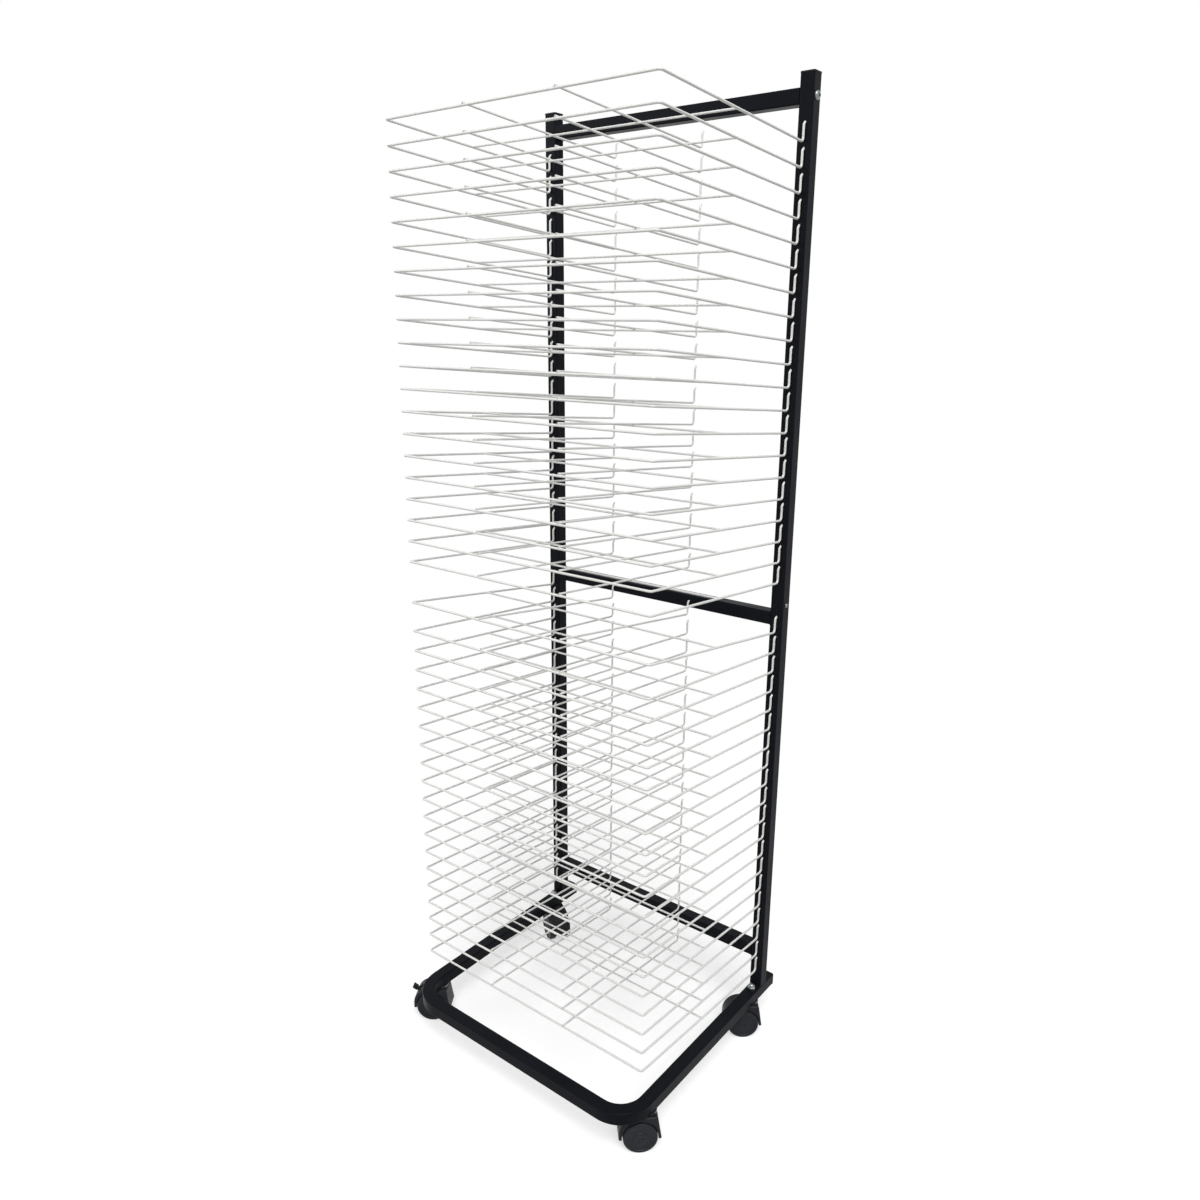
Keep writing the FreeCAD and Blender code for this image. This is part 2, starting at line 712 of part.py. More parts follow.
def lever_room(name):
    """The slot over the hood's front for the lever, and the bore for its side pins."""
    slot = primitive(
        "Box",
        f"{name}_slot",
        Length="hood_length",
        Width="lever_width + 2 * running_gap",
        Height="caster_height",
    )
    at(
        slot,
        "wheel_trail + lever_pivot_reach - lever_barrel / 2 - running_gap",
        "-lever_width / 2 - running_gap",
        "lever_pivot_height - lever_barrel / 2 - running_gap",
    )
    pins = primitive(
        "Cylinder",
        f"{name}_pin_bore",
        Radius="trunnion_diameter / 2 + running_gap",
        Height="lever_width + 2 * trunnion_length + 2 * running_gap",
    )
    at(
        pins,
        "wheel_trail + lever_pivot_reach",
        "-lever_width / 2 - trunnion_length - running_gap",
        "lever_pivot_height",
        (1, 0, 0),
        -90,
    )
    return [slot, pins]


def hood(name, sign, reach, yaw, braked):
    tools = wheel_wells(name) + socket(name) + [axle_bore(name)]
    if braked:
        tools += lever_room(name)
    node = cut(f"{name}_caster_hood", hood_form(f"{name}_hood"), fuse(f"{name}_room", *tools))
    node.Label = f"{name}_caster_hood"
    place(node, f"{sign} * {POST_X}", f"-{reach}", "0", angle=size(yaw))
    return node


def wheel(name, side, sign):
    """One wheel with its rim rounded, its outer face dished and a blind seat for the axle."""
    body = new_body(f"{name}_{side}_wheel")
    inner = "(web_width / 2 + web_gap)"
    disc = new_sketch(body, f"{body.Name}_disc", "XZ_Plane", f"{-sign} * {inner}")
    circle(disc, "0", "0", "wheel_diameter")
    rim = pad(body, disc, "wheel_width")
    rim.Reversed = sign > 0
    half = size("wheel_diameter / 2")
    round_edges(
        body, lambda edge: edge.BoundBox.XLength > half, "wheel_rounding", f"{body.Name}_rim"
    )
    outer = f"{-sign} * ({inner} + wheel_width)"
    dish = new_sketch(body, f"{body.Name}_dish", "XZ_Plane", outer)
    circle(dish, "0", "0", "dish_diameter")
    circle(dish, "0", "0", "hub_diameter")
    pocket(body, dish, f"{body.Name}_dished", "wheel_dish", reverse=sign > 0)
    seat = new_sketch(body, f"{body.Name}_seat", "XZ_Plane", f"{-sign} * {inner}")
    circle(seat, "0", "0", "axle_diameter + 2 * axle_play")
    pocket(body, seat, f"{body.Name}_seated", "axle_seat + axle_play", reverse=sign < 0)
    return body


def wheel_pair(name, sign, reach, yaw, master_wheels):
    """Two wheels pressed on one steel axle; its solids stay separate in the node."""
    axle = primitive(
        "Cylinder", f"{name}_axle", Radius="axle_diameter / 2", Height=f"2 * {AXLE_HALF}"
    )
    at(axle, y=f"-{AXLE_HALF}", axis=(1, 0, 0), angle=-90)
    document.recompute()
    node = document.addObject("Part::Feature", f"{name}_caster_wheels")
    node.Shape = Part.makeCompound([axle.Shape] + [w.Shape.copy() for w in master_wheels])
    trail, turn = "wheel_trail", f"{yaw} * 1 deg"
    place(
        node,
        f"{sign} * {POST_X} + {trail} * cos({turn})",
        f"-{reach} + {trail} * sin({turn})",
        "wheel_diameter / 2",
        angle=size(yaw),
    )
    return node


def brake_lever(name, sign, reach, yaw):
    """A lever on a barrel with two side pins, turning in the front of the hood."""
    width, thickness = "lever_width", "lever_thickness"
    barrel = primitive(
        "Cylinder", f"{name}_barrel", Radius="lever_barrel / 2", Height=width
    )
    at(barrel, y=f"-{width} / 2", axis=(1, 0, 0), angle=-90)
    arm = primitive(
        "Box", f"{name}_arm", Length="paddle_start", Width=width, Height=thickness
    )
    at(arm, y=f"-{width} / 2", z=f"-{thickness} / 2")
    paddle = primitive(
        "Box",
        f"{name}_paddle",
        Length="lever_reach - paddle_start",
        Width="paddle_width",
        Height=thickness,
    )
    at(paddle, x="paddle_start", y="-paddle_width / 2", z=f"-{thickness} / 2")
    pins = primitive(
        "Cylinder",
        f"{name}_pins",
        Radius="trunnion_diameter / 2",
        Height="lever_width + 2 * trunnion_length",
    )
    at(pins, y=f"-{width} / 2 - trunnion_length", axis=(1, 0, 0), angle=-90)
    level = fuse(f"{name}_level_lever", barrel, arm, paddle, pins)
    raised = FreeCAD.Placement(Vector(), Rotation(Vector(0, 1, 0), -size("lever_rise")))
    document.recompute()
    node = document.addObject("Part::Feature", f"{name}_brake_lever")
    node.Shape = level.Shape.transformed(raised.toMatrix(), True)
    distance, turn = "(wheel_trail + lever_pivot_reach)", f"{yaw} * 1 deg"
    place(
        node,
        f"{sign} * {POST_X} + {distance} * cos({turn})",
        f"-{reach} + {distance} * sin({turn})",
        "lever_pivot_height",
        angle=size(yaw),
    )
    return node


def casters():
    nodes = []
    master_wheels = [wheel("master", side, sign) for side, sign in SIDES]
    for name, sign, reach, yaw, braked in CASTERS:
        nodes.append(hood(name, sign, reach, yaw, braked))
        nodes.append(wheel_pair(name, sign, reach, yaw, master_wheels))
        if braked:
            nodes.append(brake_lever(name, sign, reach, yaw))
    return nodes


# ---------------------------------------------------------------- wire shelves


def bent_wire(points, radii, diameter):
    """A round wire along straight runs joined by tangent bends, one radius per inner point."""
    edges, start = [], points[0]
    for before, corner, after, radius in zip(points, points[1:], points[2:], radii):
        inward, outward = (before - corner).normalize(), (after - corner).normalize()
        half_turn = (math.pi - inward.getAngle(outward)) / 2
        tangent = radius * math.tan(half_turn)
        begin, end = corner + inward * tangent, corner + outward * tangent
        to_centre = (inward + outward).normalize() * (radius / math.cos(half_turn))
        centre = corner + to_centre
        middle = centre - to_centre.normalize() * radius
        edges.append(Part.LineSegment(start, begin).toShape())
        edges.append(Part.Arc(begin, middle, end).toShape())
        start = end
    edges.append(Part.LineSegment(start, points[-1]).toShape())
    path = Part.Wire(edges)
    along = (points[1] - points[0]).normalize()
    rim = Part.Wire([Part.makeCircle(diameter / 2, points[0], along)])
    wire = path.makePipeShell([rim], True, False)
    expected = math.pi * diameter**2 / 4 * path.Length
    if not wire.isValid() or abs(wire.Volume / expected - 1) > 0.01:
        raise RuntimeError("a bent wire did not sweep cleanly")
    return wire


def shelf_point(x, reach, lift=0.0):
    """A point of the tilted shelf: distance from the post face along it, lift square to it."""
    tilt = math.radians(size("shelf_tilt"))
    y = -reach * math.cos(tilt) + lift * math.sin(tilt)
    return Vector(x, y, reach * math.sin(tilt) + lift * math.cos(tilt))


def outer_wire():
    """The shelf's outline: hook, upright, side, front, side, upright, hook in one wire."""
    side = size(POST_X)
    upright_y = -size("frame_wire / 2 + running_gap")
    lean = math.radians(size("hook_lean"))
    hole = Vector(0, size("tube_wall / 2"), size("hook_rise"))
    along = Vector(0, math.sin(lean), math.cos(lean))
    tip = hole + along * size("hook_length")
    bend = hole + along * ((upright_y - hole.y) / along.y)
    rear = shelf_point(0, -upright_y / math.cos(math.radians(size("shelf_tilt"))))
    front = shelf_point(0, size("shelf_reach"))
    half = [tip, bend, rear, front]
    points = [p + Vector(-side, 0, 0) for p in half] + [p + Vector(side, 0, 0) for p in half[::-1]]
    bends = [size("hook_bend"), size("rear_corner"), size("front_corner")]
    return bent_wire(points, bends + bends[::-1], size("frame_wire"))


def cross_wire():
    """The straight wire welded between the sides, its top level with theirs."""
    half = size(f"{POST_X} - frame_wire / 2")
    lift = size("(frame_wire - rib_wire) / 2")
    centre = shelf_point(-half, size("cross_wire_reach"), lift)
    return Part.makeCylinder(size("rib_wire / 2"), 2 * half, centre, Vector(1, 0, 0))


def inner_wire(x):
    """A wire lying on the front and the cross wire, with its tail turned up at the rear."""
    lift = size("(frame_wire + rib_wire) / 2")
    front = shelf_point(x, size("shelf_reach + frame_wire / 2 - rib_front_gap"), lift)
    tilt = math.radians(size("shelf_tilt"))
    corner_reach = (size("tail_distance") + lift * math.sin(tilt)) / math.cos(tilt)
    corner = shelf_point(x, corner_reach, lift)
    top = corner + Vector(0, 0, size("tail_rise"))
    lean = math.radians(size("tail_lean"))
    tip = top + Vector(0, math.sin(lean), math.cos(lean)) * size("tail_tip")
    bends = [size("rear_corner"), size("hook_bend")]
    return bent_wire([front, corner, top, tip], bends, size("rib_wire"))


def raise_about_hooks(node, height):
    """Puts a shelf at its height, parked a little above the level of the others."""
    turn = "raised_shelf * 1 deg"
    back = f"tube_wall / 2 * (1 - cos({turn})) - hook_rise * sin({turn})"
    up = f"hook_rise * (1 - cos({turn})) + tube_wall / 2 * sin({turn})"
    place(node, y=back, z=f"{height} + {up}", axis=(1, 0, 0), angle=-size("raised_shelf"))


def shelves():
    """Forty like shelves in two banks, numbered from the top."""
    offset = size("rib_offset")
    wires = [outer_wire(), cross_wire(), inner_wire(-offset), inner_wire(offset)]
    master = Part.makeCompound(wires)
    count = int(size("shelves_per_bank"))
    nodes = []
    for number in range(1, 2 * count + 1):
        node = document.addObject("Part::Feature", f"shelf_{number:02d}")
        node.Shape = master
        steps = 2 * count - number
        gap = "middle_gap - shelf_pitch" if number <= count else "0"
        height = f"{FOOT_Z} + lowest_shelf + shelf_pitch * {steps} + {gap}"
        if number == count + 1:
            raise_about_hooks(node, height)
        else:
            place(node, z=height)
        nodes.append(node)
    return nodes


# ---------------------------------------------------------------- assembly


def centre_on_origin(nodes):
    """Moves the datum so that the bottom centre of the whole outline is at the origin."""
    document.recompute()
    outline = FreeCAD.BoundBox()
    for node in nodes:
        outline.add(node.Shape.optimalBoundingBox())
    centre = outline.Center
    row = len(SIZES) + 1
    sheet.set(f"B{row}", str(-round(centre.x)))
    sheet.set(f"B{row + 1}", str(-round(centre.y)))
    document.recompute()


def check_and_write(nodes):
    """Stops at any failed object or broken solid, then writes one STEP file per node."""
    for thing in document.Objects:
        if "Invalid" in thing.State or "Error" in thing.State:
            raise RuntimeError(f"{thing.Label} failed: {thing.State}")
    for node in nodes:
        shape = node.Shape
        if shape.isNull() or not shape.isValid() or not shape.Solids:
            raise RuntimeError(f"{node.Label} is not a valid solid")
    os.makedirs("parts", exist_ok=True)
    for node in nodes:
        node.Shape.exportStep(os.path.join("parts", f"{node.Label}.step"))


def main():
    fill_sheet()
    nodes = [base_tube()]
    nodes += [post(side, sign) for side, sign in SIDES]
    nodes.append(rail("top_rail", TOP_RAIL, tapped=True))
    nodes.append(rail("middle_rail", "middle_rail_height"))
    nodes.append(rail("bottom_rail", "bottom_rail_height"))
    nodes += [end_caps(), frame_bolts(), caster_stems(), caster_nuts()]
    nodes += casters()
    nodes += shelves()
    centre_on_origin(nodes)
    check_and_write(nodes)
    print("nodes", len(nodes), "middle x", size("middle_x"), "post face y", size("post_face_y"))


main()
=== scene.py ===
"""Dresses the art drying rack: wire shelves, tube frame, fasteners, casters and a plain studio."""

import json
import math

import bmesh
import bpy
from mathutils import Matrix, Vector


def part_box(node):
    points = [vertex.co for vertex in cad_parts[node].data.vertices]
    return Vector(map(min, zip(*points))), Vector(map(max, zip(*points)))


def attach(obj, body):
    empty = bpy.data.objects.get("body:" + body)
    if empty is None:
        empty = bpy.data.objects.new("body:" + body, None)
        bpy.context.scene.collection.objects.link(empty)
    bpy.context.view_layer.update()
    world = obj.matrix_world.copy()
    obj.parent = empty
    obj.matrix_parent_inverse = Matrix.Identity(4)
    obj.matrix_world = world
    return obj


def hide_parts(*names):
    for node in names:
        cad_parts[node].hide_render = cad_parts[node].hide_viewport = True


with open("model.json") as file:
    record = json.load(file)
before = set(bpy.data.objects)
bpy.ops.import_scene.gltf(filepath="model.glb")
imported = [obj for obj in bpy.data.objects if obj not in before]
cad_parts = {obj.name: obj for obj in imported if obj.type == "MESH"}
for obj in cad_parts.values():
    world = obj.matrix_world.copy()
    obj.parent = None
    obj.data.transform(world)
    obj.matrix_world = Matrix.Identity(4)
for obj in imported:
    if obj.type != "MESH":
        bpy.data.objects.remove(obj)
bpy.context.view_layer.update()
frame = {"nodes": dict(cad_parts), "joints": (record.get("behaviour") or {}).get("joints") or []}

bl_info = {
    "name": "Art Drying Rack",
    "version": (1, 0, 0),
    "blender": (4, 5, 0),
    "location": "3D View > Sidebar > Drying Rack",
    "description": "Finishes and fine shapes for a castored wire drying rack",
    "category": "Object",
}

MM = 0.001
DEGREE = math.radians(1.0)

# The joints of the frame give every moving piece its place: the hook holes of the shelves, the
# stems and axles of the casters and the pivots of the brake levers.
JOINTS = {joint["name"]: joint for joint in frame["joints"]}
SHELVES = sorted(name for name in frame["nodes"] if name.startswith("shelf_"))
CASTERS = ("front_left", "front_right", "rear_left", "rear_right")
BRAKED = ("front_left", "front_right")
POSTS = ("left_post", "right_post")
TUBES = POSTS + ("base_tube", "top_rail", "middle_rail", "bottom_rail")
RAISED_SHELF = "shelf_21"

UP = Vector((0, 0, 1))
CREASE = 20 * DEGREE  # an edge that turns by more than this is a crease
TOUCH = MM / 1000  # points nearer than this are one
NEAR_RIM = 0.97  # share of a turned part's radius past which an edge is on its rim

# How far a wire's coat is tinted towards steel at each vertex: partly a thin coat on cut ends and
# welds, partly painted shade where the ribs meet and cross the wires. A cut end takes more of the
# tint than a weld.
STEEL_AND_SHADE = "bare"
STEEL_AND_SHADE_AT_END = 0.5
STEEL_AND_SHADE_AT_WELD = 0.2
END_DEPTH = 0.1 * MM  # what lies nearer than this to the cut belongs to the end

BEND_STEP = 11 * DEGREE  # turn between two rings of a bent wire
FEWEST_STEPS = 4  # in a bend or a weld bead, however short it is
NUGGET_WIDTH = 1.9  # half-width of a weld nugget across its bulge, in bulges

# A weld bead swells and shrinks by turns along its way.
BEAD_START = 0.7  # radius of its first ring, in bead radii
BEAD_RISE = 1.3  # growth of the next one
BEAD_RIPPLE = (1.35, 0.78)  # growth of the even and of the odd ones after that

GRIP_RIBS = (0.3, 0.5, 0.7)  # where the ribs cross the paddle, as shares of its length
GRIP_LENGTH = 0.7  # length of a rib, as a share of the paddle's width
HEAD_SHARE = 0.92  # share of its half ball's height at which a domed head is cut flat
SOCKET_SHARE = 0.6  # depth of its socket, as a share of the head's height
DOME_SINK = 0.5 * MM  # how far a nut's dome reaches down into its hexagon

SENSOR_WIDTH = 36.0  # in millimetres, as a camera counts it

# The levels that a noise texture mostly keeps between.
NOISE_SPAN = {"From Min": 0.3, "From Max": 0.7}


# ---------------------------------------------------------------- sizes and colours


def linear_colour(code):
    """An sRGB hex colour as linear red, green and blue."""
    levels = [int(code[n : n + 2], 16) / 255 for n in (1, 3, 5)]
    return tuple(c / 12.92 if c <= 0.04045 else ((c + 0.055) / 1.055) ** 2.4 for c in levels)


def millimetres(name, value, description):
    """A length that the panel shows, given here in millimetres."""
    return bpy.props.FloatProperty(
        name=name,
        description=description,
        default=value * MM,
        min=0.0,
        precision=4,
        subtype="DISTANCE",
        unit="LENGTH",
    )


def degrees(name, value, description):
    """An angle that the panel shows, given here in degrees."""
    return bpy.props.FloatProperty(
        name=name,
        description=description,
        default=value * DEGREE,
        subtype="ANGLE",
        unit="ROTATION",
    )


def position(name, value, description):
    """A point that the panel shows, in metres."""
    return bpy.props.FloatVectorProperty(
        name=name, description=description, default=value, subtype="TRANSLATION", unit="LENGTH"
    )


def watts(name, value, description):
    """A lamp's power that the panel shows."""
    return bpy.props.FloatProperty(name=name, description=description, default=value, unit="POWER")


def factor(name, value, description):
    """A glow that the panel shows, where one is white."""
    return bpy.props.FloatProperty(name=name, description=description, default=value, min=0.0)


def colour(name, code, description):
    """A colour that the panel shows, given here in sRGB hex."""
    return bpy.props.FloatVectorProperty(
        name=name,
        description=description,
        default=linear_colour(code),
        size=3,
        min=0.0,
        max=1.0,
        subtype="COLOR",
    )


class RackShelfSizes(bpy.types.PropertyGroup):
    """Sizes of a wire shelf"""

    frame_wire: millimetres("Frame wire", 4.0, "Diameter of the outer wire")
    rib_wire: millimetres("Rib wire", 3.5, "Diameter of the inner and cross wires")
    reach: millimetres("Reach", 398.0, "Post face to the middle of the front wire")
    tilt: degrees("Tilt", 4.8, "Rise of the shelf towards its front")
    cross_reach: millimetres("Cross wire", 205.0, "Post face to the cross wire")
    rib_offset: millimetres("Rib offset", 90.0, "Middle of the rack to an inner wire")
    rib_front_gap: millimetres("Rib gap", 0.5, "Front wire's outer edge to a rib's end")
    front_corner: millimetres("Front corner", 5.0, "Bend radius of the front corners")
    rear_corner: millimetres("Rear corner", 6.0, "Bend radius of the rear corners")
    tail_distance: millimetres("Tail distance", 23.0, "Post face to an inner wire's tail")
    tail_rise: millimetres("Tail rise", 22.0, "Upright part of a tail")
    tail_tip: millimetres("Tail tip", 6.0, "Leaning tip of a tail")
    tail_lean: degrees("Tail lean", 35.0, "Lean of a tail's tip")
    hook_rise: millimetres("Hook rise", 28.5, "Rear corner to the middle of the hook's hole")
    hook_lean: degrees("Hook lean", 50.0, "Hook away from upright")
    hook_bend: millimetres("Hook bend", 4.0, "Bend radius of hooks and tails")
    hook_length: millimetres("Hook length", 12.0, "Hook inside the post")
    post_gap: millimetres("Post gap", 0.3, "Play between the wire and the post")
    post_wall: millimetres("Post wall", 1.5, "Wall of the post")
    weld_set: millimetres("Weld set", 0.6, "Depth that the welder presses a rib into a wire")
    weld_bulge: millimetres("Weld bulge", 0.55, "Metal squeezed out round a crossing")
    raised: degrees("Raised shelf", 2.4, "Turn at which the lower bank's top shelf is parked")


class RackFrameSizes(bpy.types.PropertyGroup):
    """Sizes of the caps, welds and fasteners on the tube frame"""

    cap_lip: millimetres("Cap lip", 0.5, "Overhang of a cap beyond the tube")
    cap_plate: millimetres("Cap plate", 2.5, "Thickness of a cap's cover plate")
    cap_plug: millimetres("Cap plug", 14.0, "Depth of a cap in its tube")
    cap_corner: millimetres("Cap corner", 3.0, "Corner radius of a cap")
    cap_edge: millimetres("Cap edge", 0.9, "Rounding of a cap's upper edge")
    plug_inset: millimetres("Plug inset", 1.7, "Outer face of the tube to the inset ring under a cap")
    weld_leg: millimetres("Weld leg", 2.2, "Radius of a weld bead")
    bolt_head: millimetres("Bolt head", 15.0, "Diameter of a rail bolt's domed head")
    bolt_dome: millimetres("Bolt dome", 4.5, "Height of a rail bolt's head")
    bolt_socket: millimetres("Bolt socket", 5.0, "Across the flats of the bolt's socket")
    screw_head: millimetres("Screw head", 8.0, "Diameter of a post screw's head")
    screw_dome: millimetres("Screw dome", 2.4, "Height of a post screw's head")
    screw_socket: millimetres("Screw socket", 2.5, "Across the flats of the screw's socket")
    screw_rise: millimetres("Screw rise", 38.0, "Middle rail's underside to a post screw")
    nut_flats: millimetres("Nut flats", 14.0, "Dome nut across its flats")
    nut_height: millimetres("Nut height", 6.0, "Hexagonal part of a dome nut")
    nut_rim: millimetres("Nut rim", 0.5, "Flat rim of the hexagon round its dome")
    nut_chamfer: millimetres("Nut chamfer", 0.8, "Chamfer of the hexagon, above and below")
    nut_turn: degrees("Nut turn", 15.0, "Turn of a nut's flats against the leg")


class RackCasterSizes(bpy.types.PropertyGroup):
    """Sizes of the casters' wheels, axles, hood lips and brake levers"""

    wheel_gap: millimetres("Wheel gap", 9.3, "Middle of a caster to a wheel's inner face")
    wheel_width: millimetres("Wheel width", 15.0, "Width of one wheel over its rim")
    rim_rounding: millimetres("Rim rounding", 3.0, "Edge rounding of a wheel's tread")
    dish_radius: millimetres("Dish radius", 25.0, "Outside of the dished ring")
    dish_depth: millimetres("Dish depth", 1.2, "Depth of the dished ring")
    hub_radius: millimetres("Hub radius", 12.0, "Raised hub inside the dished ring")
    axle_radius: millimetres("Axle radius", 4.0, "Radius of the steel axle")
    lip_reach: millimetres("Lip reach", 33.5, "Axle to the rolled lip of the hood's arch")
    lip_radius: millimetres("Lip radius", 0.9, "Radius of the rolled lip")
    hood_half: millimetres("Hood half", 21.0, "Middle of a caster to the side of its hood")
    barrel: millimetres("Barrel", 8.0, "Diameter of the lever's barrel")
    pin: millimetres("Pin", 4.0, "Diameter of the lever's side pins")
    pin_length: millimetres("Pin length", 2.5, "Length of each side pin")
    lever_width: millimetres("Lever width", 9.0, "Width of the lever in the hood")
    lever_thickness: millimetres("Lever thickness", 4.0, "Thickness of the lever")
    lever_reach: millimetres("Lever reach", 20.0, "Pivot to the tip of the lever")
    lever_rise: degrees("Lever rise", 35.0, "Tilt of the lever when it is up")
    paddle_start: millimetres("Paddle start", 9.5, "Pivot to the lever's wider end")
    paddle_width: millimetres("Paddle width", 14.0, "Width of the lever's wider end")


class RackColours(bpy.types.PropertyGroup):
    """Colours of the finishes"""

    powder_coat: colour("Powder coat", "#0e1015", "Black coat on the tube frame")
    wire_coat: colour("Wire coat", "#d6d6d4", "White coat on the wire shelves")
    cap_plastic: colour("Cap plastic", "#0f1013", "Caps in the tube ends, brake levers")
    hood_nylon: colour("Hood nylon", "#181a1e", "Hoods of the casters")
    wheel_nylon: colour("Wheel nylon", "#1e2126", "Wheels of the casters")
    zinc: colour("Zinc plate", "#85888a", "Bolts, nuts, stems and collars")
    # Tint of the cut ends and welds: partly steel through a thin coat, partly painted shade where the
    # wires meet.
    steel_and_shade_colour: colour("Bare steel", "#4d4740", "Cut ends of the wires and tint of the welds")
    floor: colour("Floor", "#bebebe", "Floor under the rack")


class RackStudio(bpy.types.PropertyGroup):
    """Camera and light"""

    camera_place: position("Camera place", (1.0500, -1.2999, 1.4018), "Where the camera stands")
    camera_turn: degrees("Camera turn", 38.172, "Camera's direction round the upright axis")
    camera_dip: degrees("Camera dip", 16.339, "Camera's view below the horizon")
    camera_roll: degrees("Camera roll", 0.207, "Tilt of the picture")
    camera_lens: bpy.props.FloatProperty(
        name="Lens", description="Focal length on a 36 mm sensor", default=28.687, unit="CAMERA"
    )
    light_target: position("Light target", (0.0, 0.0, 0.9), "Where both lights point")
    key_place: position("Key place", (3.0, -3.0, 6.5), "Where the large light hangs")
    key_size: millimetres("Key size", 4000.0, "Side of the large light")
    key_power: watts("Key light", 480.0, "Power of the large light")
    fill_place: position("Fill place", (-3.5, -3.0, 2.6), "Where the second light hangs")
    fill_size: millimetres("Fill size", 3000.0, "Side of the second light")
    fill_power: watts("Fill light", 60.0, "Power of the second light")
    sky_level: factor("Sky level", 0.32, "Strength of the even light from all sides")
    floor_lift: factor("Floor lift", 0.55, "Glow that lifts the unshadowed floor to white")
    clear_radius: millimetres("Clear radius", 600.0, "Where the floor starts to turn white")
    white_radius: millimetres("White radius", 1500.0, "Where the floor is pure white")
    floor_radius: millimetres("Floor radius", 9000.0, "Radius of the round floor")


# ---------------------------------------------------------------- node helper


def add_node(tree, kind, inputs=(), **settings):
    """Adds a node, sets its properties, and links or sets its inputs by name or by number."""
    node = tree.nodes.new(kind)
    for name, value in settings.items():
        setattr(node, name, value)
    for socket, value in dict(inputs).items():
        if isinstance(value, bpy.types.NodeSocket):
            tree.links.new(value, node.inputs[socket])
        else:
            node.inputs[socket].default_value = value
    return node


def new_material(name):
    """An empty node material, its tree and its object coordinates."""
    material = bpy.data.materials.new(name)
    material.use_nodes = True
    tree = material.node_tree
    tree.nodes.clear()
    return material, tree, add_node(tree, "ShaderNodeTexCoord").outputs["Object"]


def noise_at(coords, size_mm, **settings):
    """Inputs of a noise texture whose features are about this many millimetres wide."""
    return {"Vector": coords, "Scale": 1.0 / (size_mm * MM), **settings}


def shade(level, rgb):
    """A colour made lighter or darker by a factor, as four numbers."""
    return tuple(min(1.0, c * level) for c in rgb) + (1.0,)


# ---------------------------------------------------------------- finishes


def powder_coat_material(name, rgb):
    """Black polyester powder coat, sprayed and baked on steel tube.

    A semi-gloss skin with a slight orange peel, a little flatter in some places than in others,
    and with a fine salt of dust grains caught in the film.
    """
    material, tree, coords = new_material(name)
    # The real peel is 1 to 2 mm from crest to crest; 3 mm is the finest that shows.
    peel = add_node(tree, "ShaderNodeTexNoise", noise_at(coords, 3.0)).outputs["Fac"]
    patches = add_node(tree, "ShaderNodeTexNoise", noise_at(coords, 90.0, Detail=3.0)).outputs["Fac"]
    grains = add_node(tree, "ShaderNodeTexNoise", noise_at(coords, 1.6, Detail=0.0)).outputs["Fac"]
    tone = add_node(tree, "ShaderNodeMapRange", {"Value": patches, **NOISE_SPAN}).outputs["Result"]
    base = add_node(
        tree,
        "ShaderNodeMix",
        {"Factor": tone, "A": shade(0.85, rgb), "B": shade(1.25, rgb)},
        data_type="RGBA",
    ).outputs["Result"]
    dust = add_node(
        tree,
        "ShaderNodeMapRange",
        {"Value": grains, "From Min": 0.74, "From Max": 0.80, "To Max": 0.5},
    ).outputs["Result"]
    base = add_node(
        tree, "ShaderNodeMix", {"Factor": dust, "A": base, "B": shade(6.0, rgb)}, data_type="RGBA"
    ).outputs["Result"]
    gloss = add_node(
        tree,
        "ShaderNodeMapRange",
        {"Value": patches, **NOISE_SPAN, "To Min": 0.34, "To Max": 0.46},
    ).outputs["Result"]
    bump = add_node(
        tree, "ShaderNodeBump", {"Height": peel, "Strength": 0.25, "Distance": 0.05 * MM}
    ).outputs["Normal"]
    return shaded(material, tree, base, gloss, bump, {"Specular IOR Level": 0.05})


def wire_coat_material(name, rgb):
    """White epoxy powder coat on drawn steel wire.

    A smooth, fairly glossy film that runs a little thick and thin along the wire, with a faint
    warm tint where it is thin. The cut ends and the welds are tinted towards steel: partly a thin
    coat there, partly painted shade where the ribs meet and cross the wires.
    """
    material, tree, coords = new_material(name)
    film = add_node(tree, "ShaderNodeTexNoise", noise_at(coords, 25.0, Detail=3.0)).outputs["Fac"]
    # Runs in the film are 2 to 4 mm long.
    runs = add_node(tree, "ShaderNodeTexNoise", noise_at(coords, 3.0)).outputs["Fac"]
    red, green, blue = rgb
    thin = (red * 0.93, green * 0.925, blue * 0.91, 1.0)
    base = add_node(
        tree, "ShaderNodeMix", {"Factor": film, "A": thin, "B": shade(1.05, rgb)}, data_type="RGBA"
    ).outputs["Result"]
    # Painted shade where the ribs meet and cross the wires, together with a thin coat on cut ends and
    # welds: a vertex tint that darkens the coat towards steel.
    bare = add_node(tree, "ShaderNodeAttribute", attribute_name=STEEL_AND_SHADE).outputs["Fac"]
    steel = shade(1.0, bpy.context.scene.rack_colours.steel_and_shade_colour)
    base = add_node(
        tree, "ShaderNodeMix", {"Factor": bare, "A": base, "B": steel}, data_type="RGBA"
    ).outputs["Result"]
    gloss = add_node(
        tree, "ShaderNodeMapRange", {"Value": film, **NOISE_SPAN, "To Min": 0.30, "To Max": 0.42}
    ).outputs["Result"]
    bump = add_node(
        tree, "ShaderNodeBump", {"Height": runs, "Strength": 0.3, "Distance": 0.06 * MM}
    ).outputs["Normal"]
    return shaded(material, tree, base, gloss, bump, {})


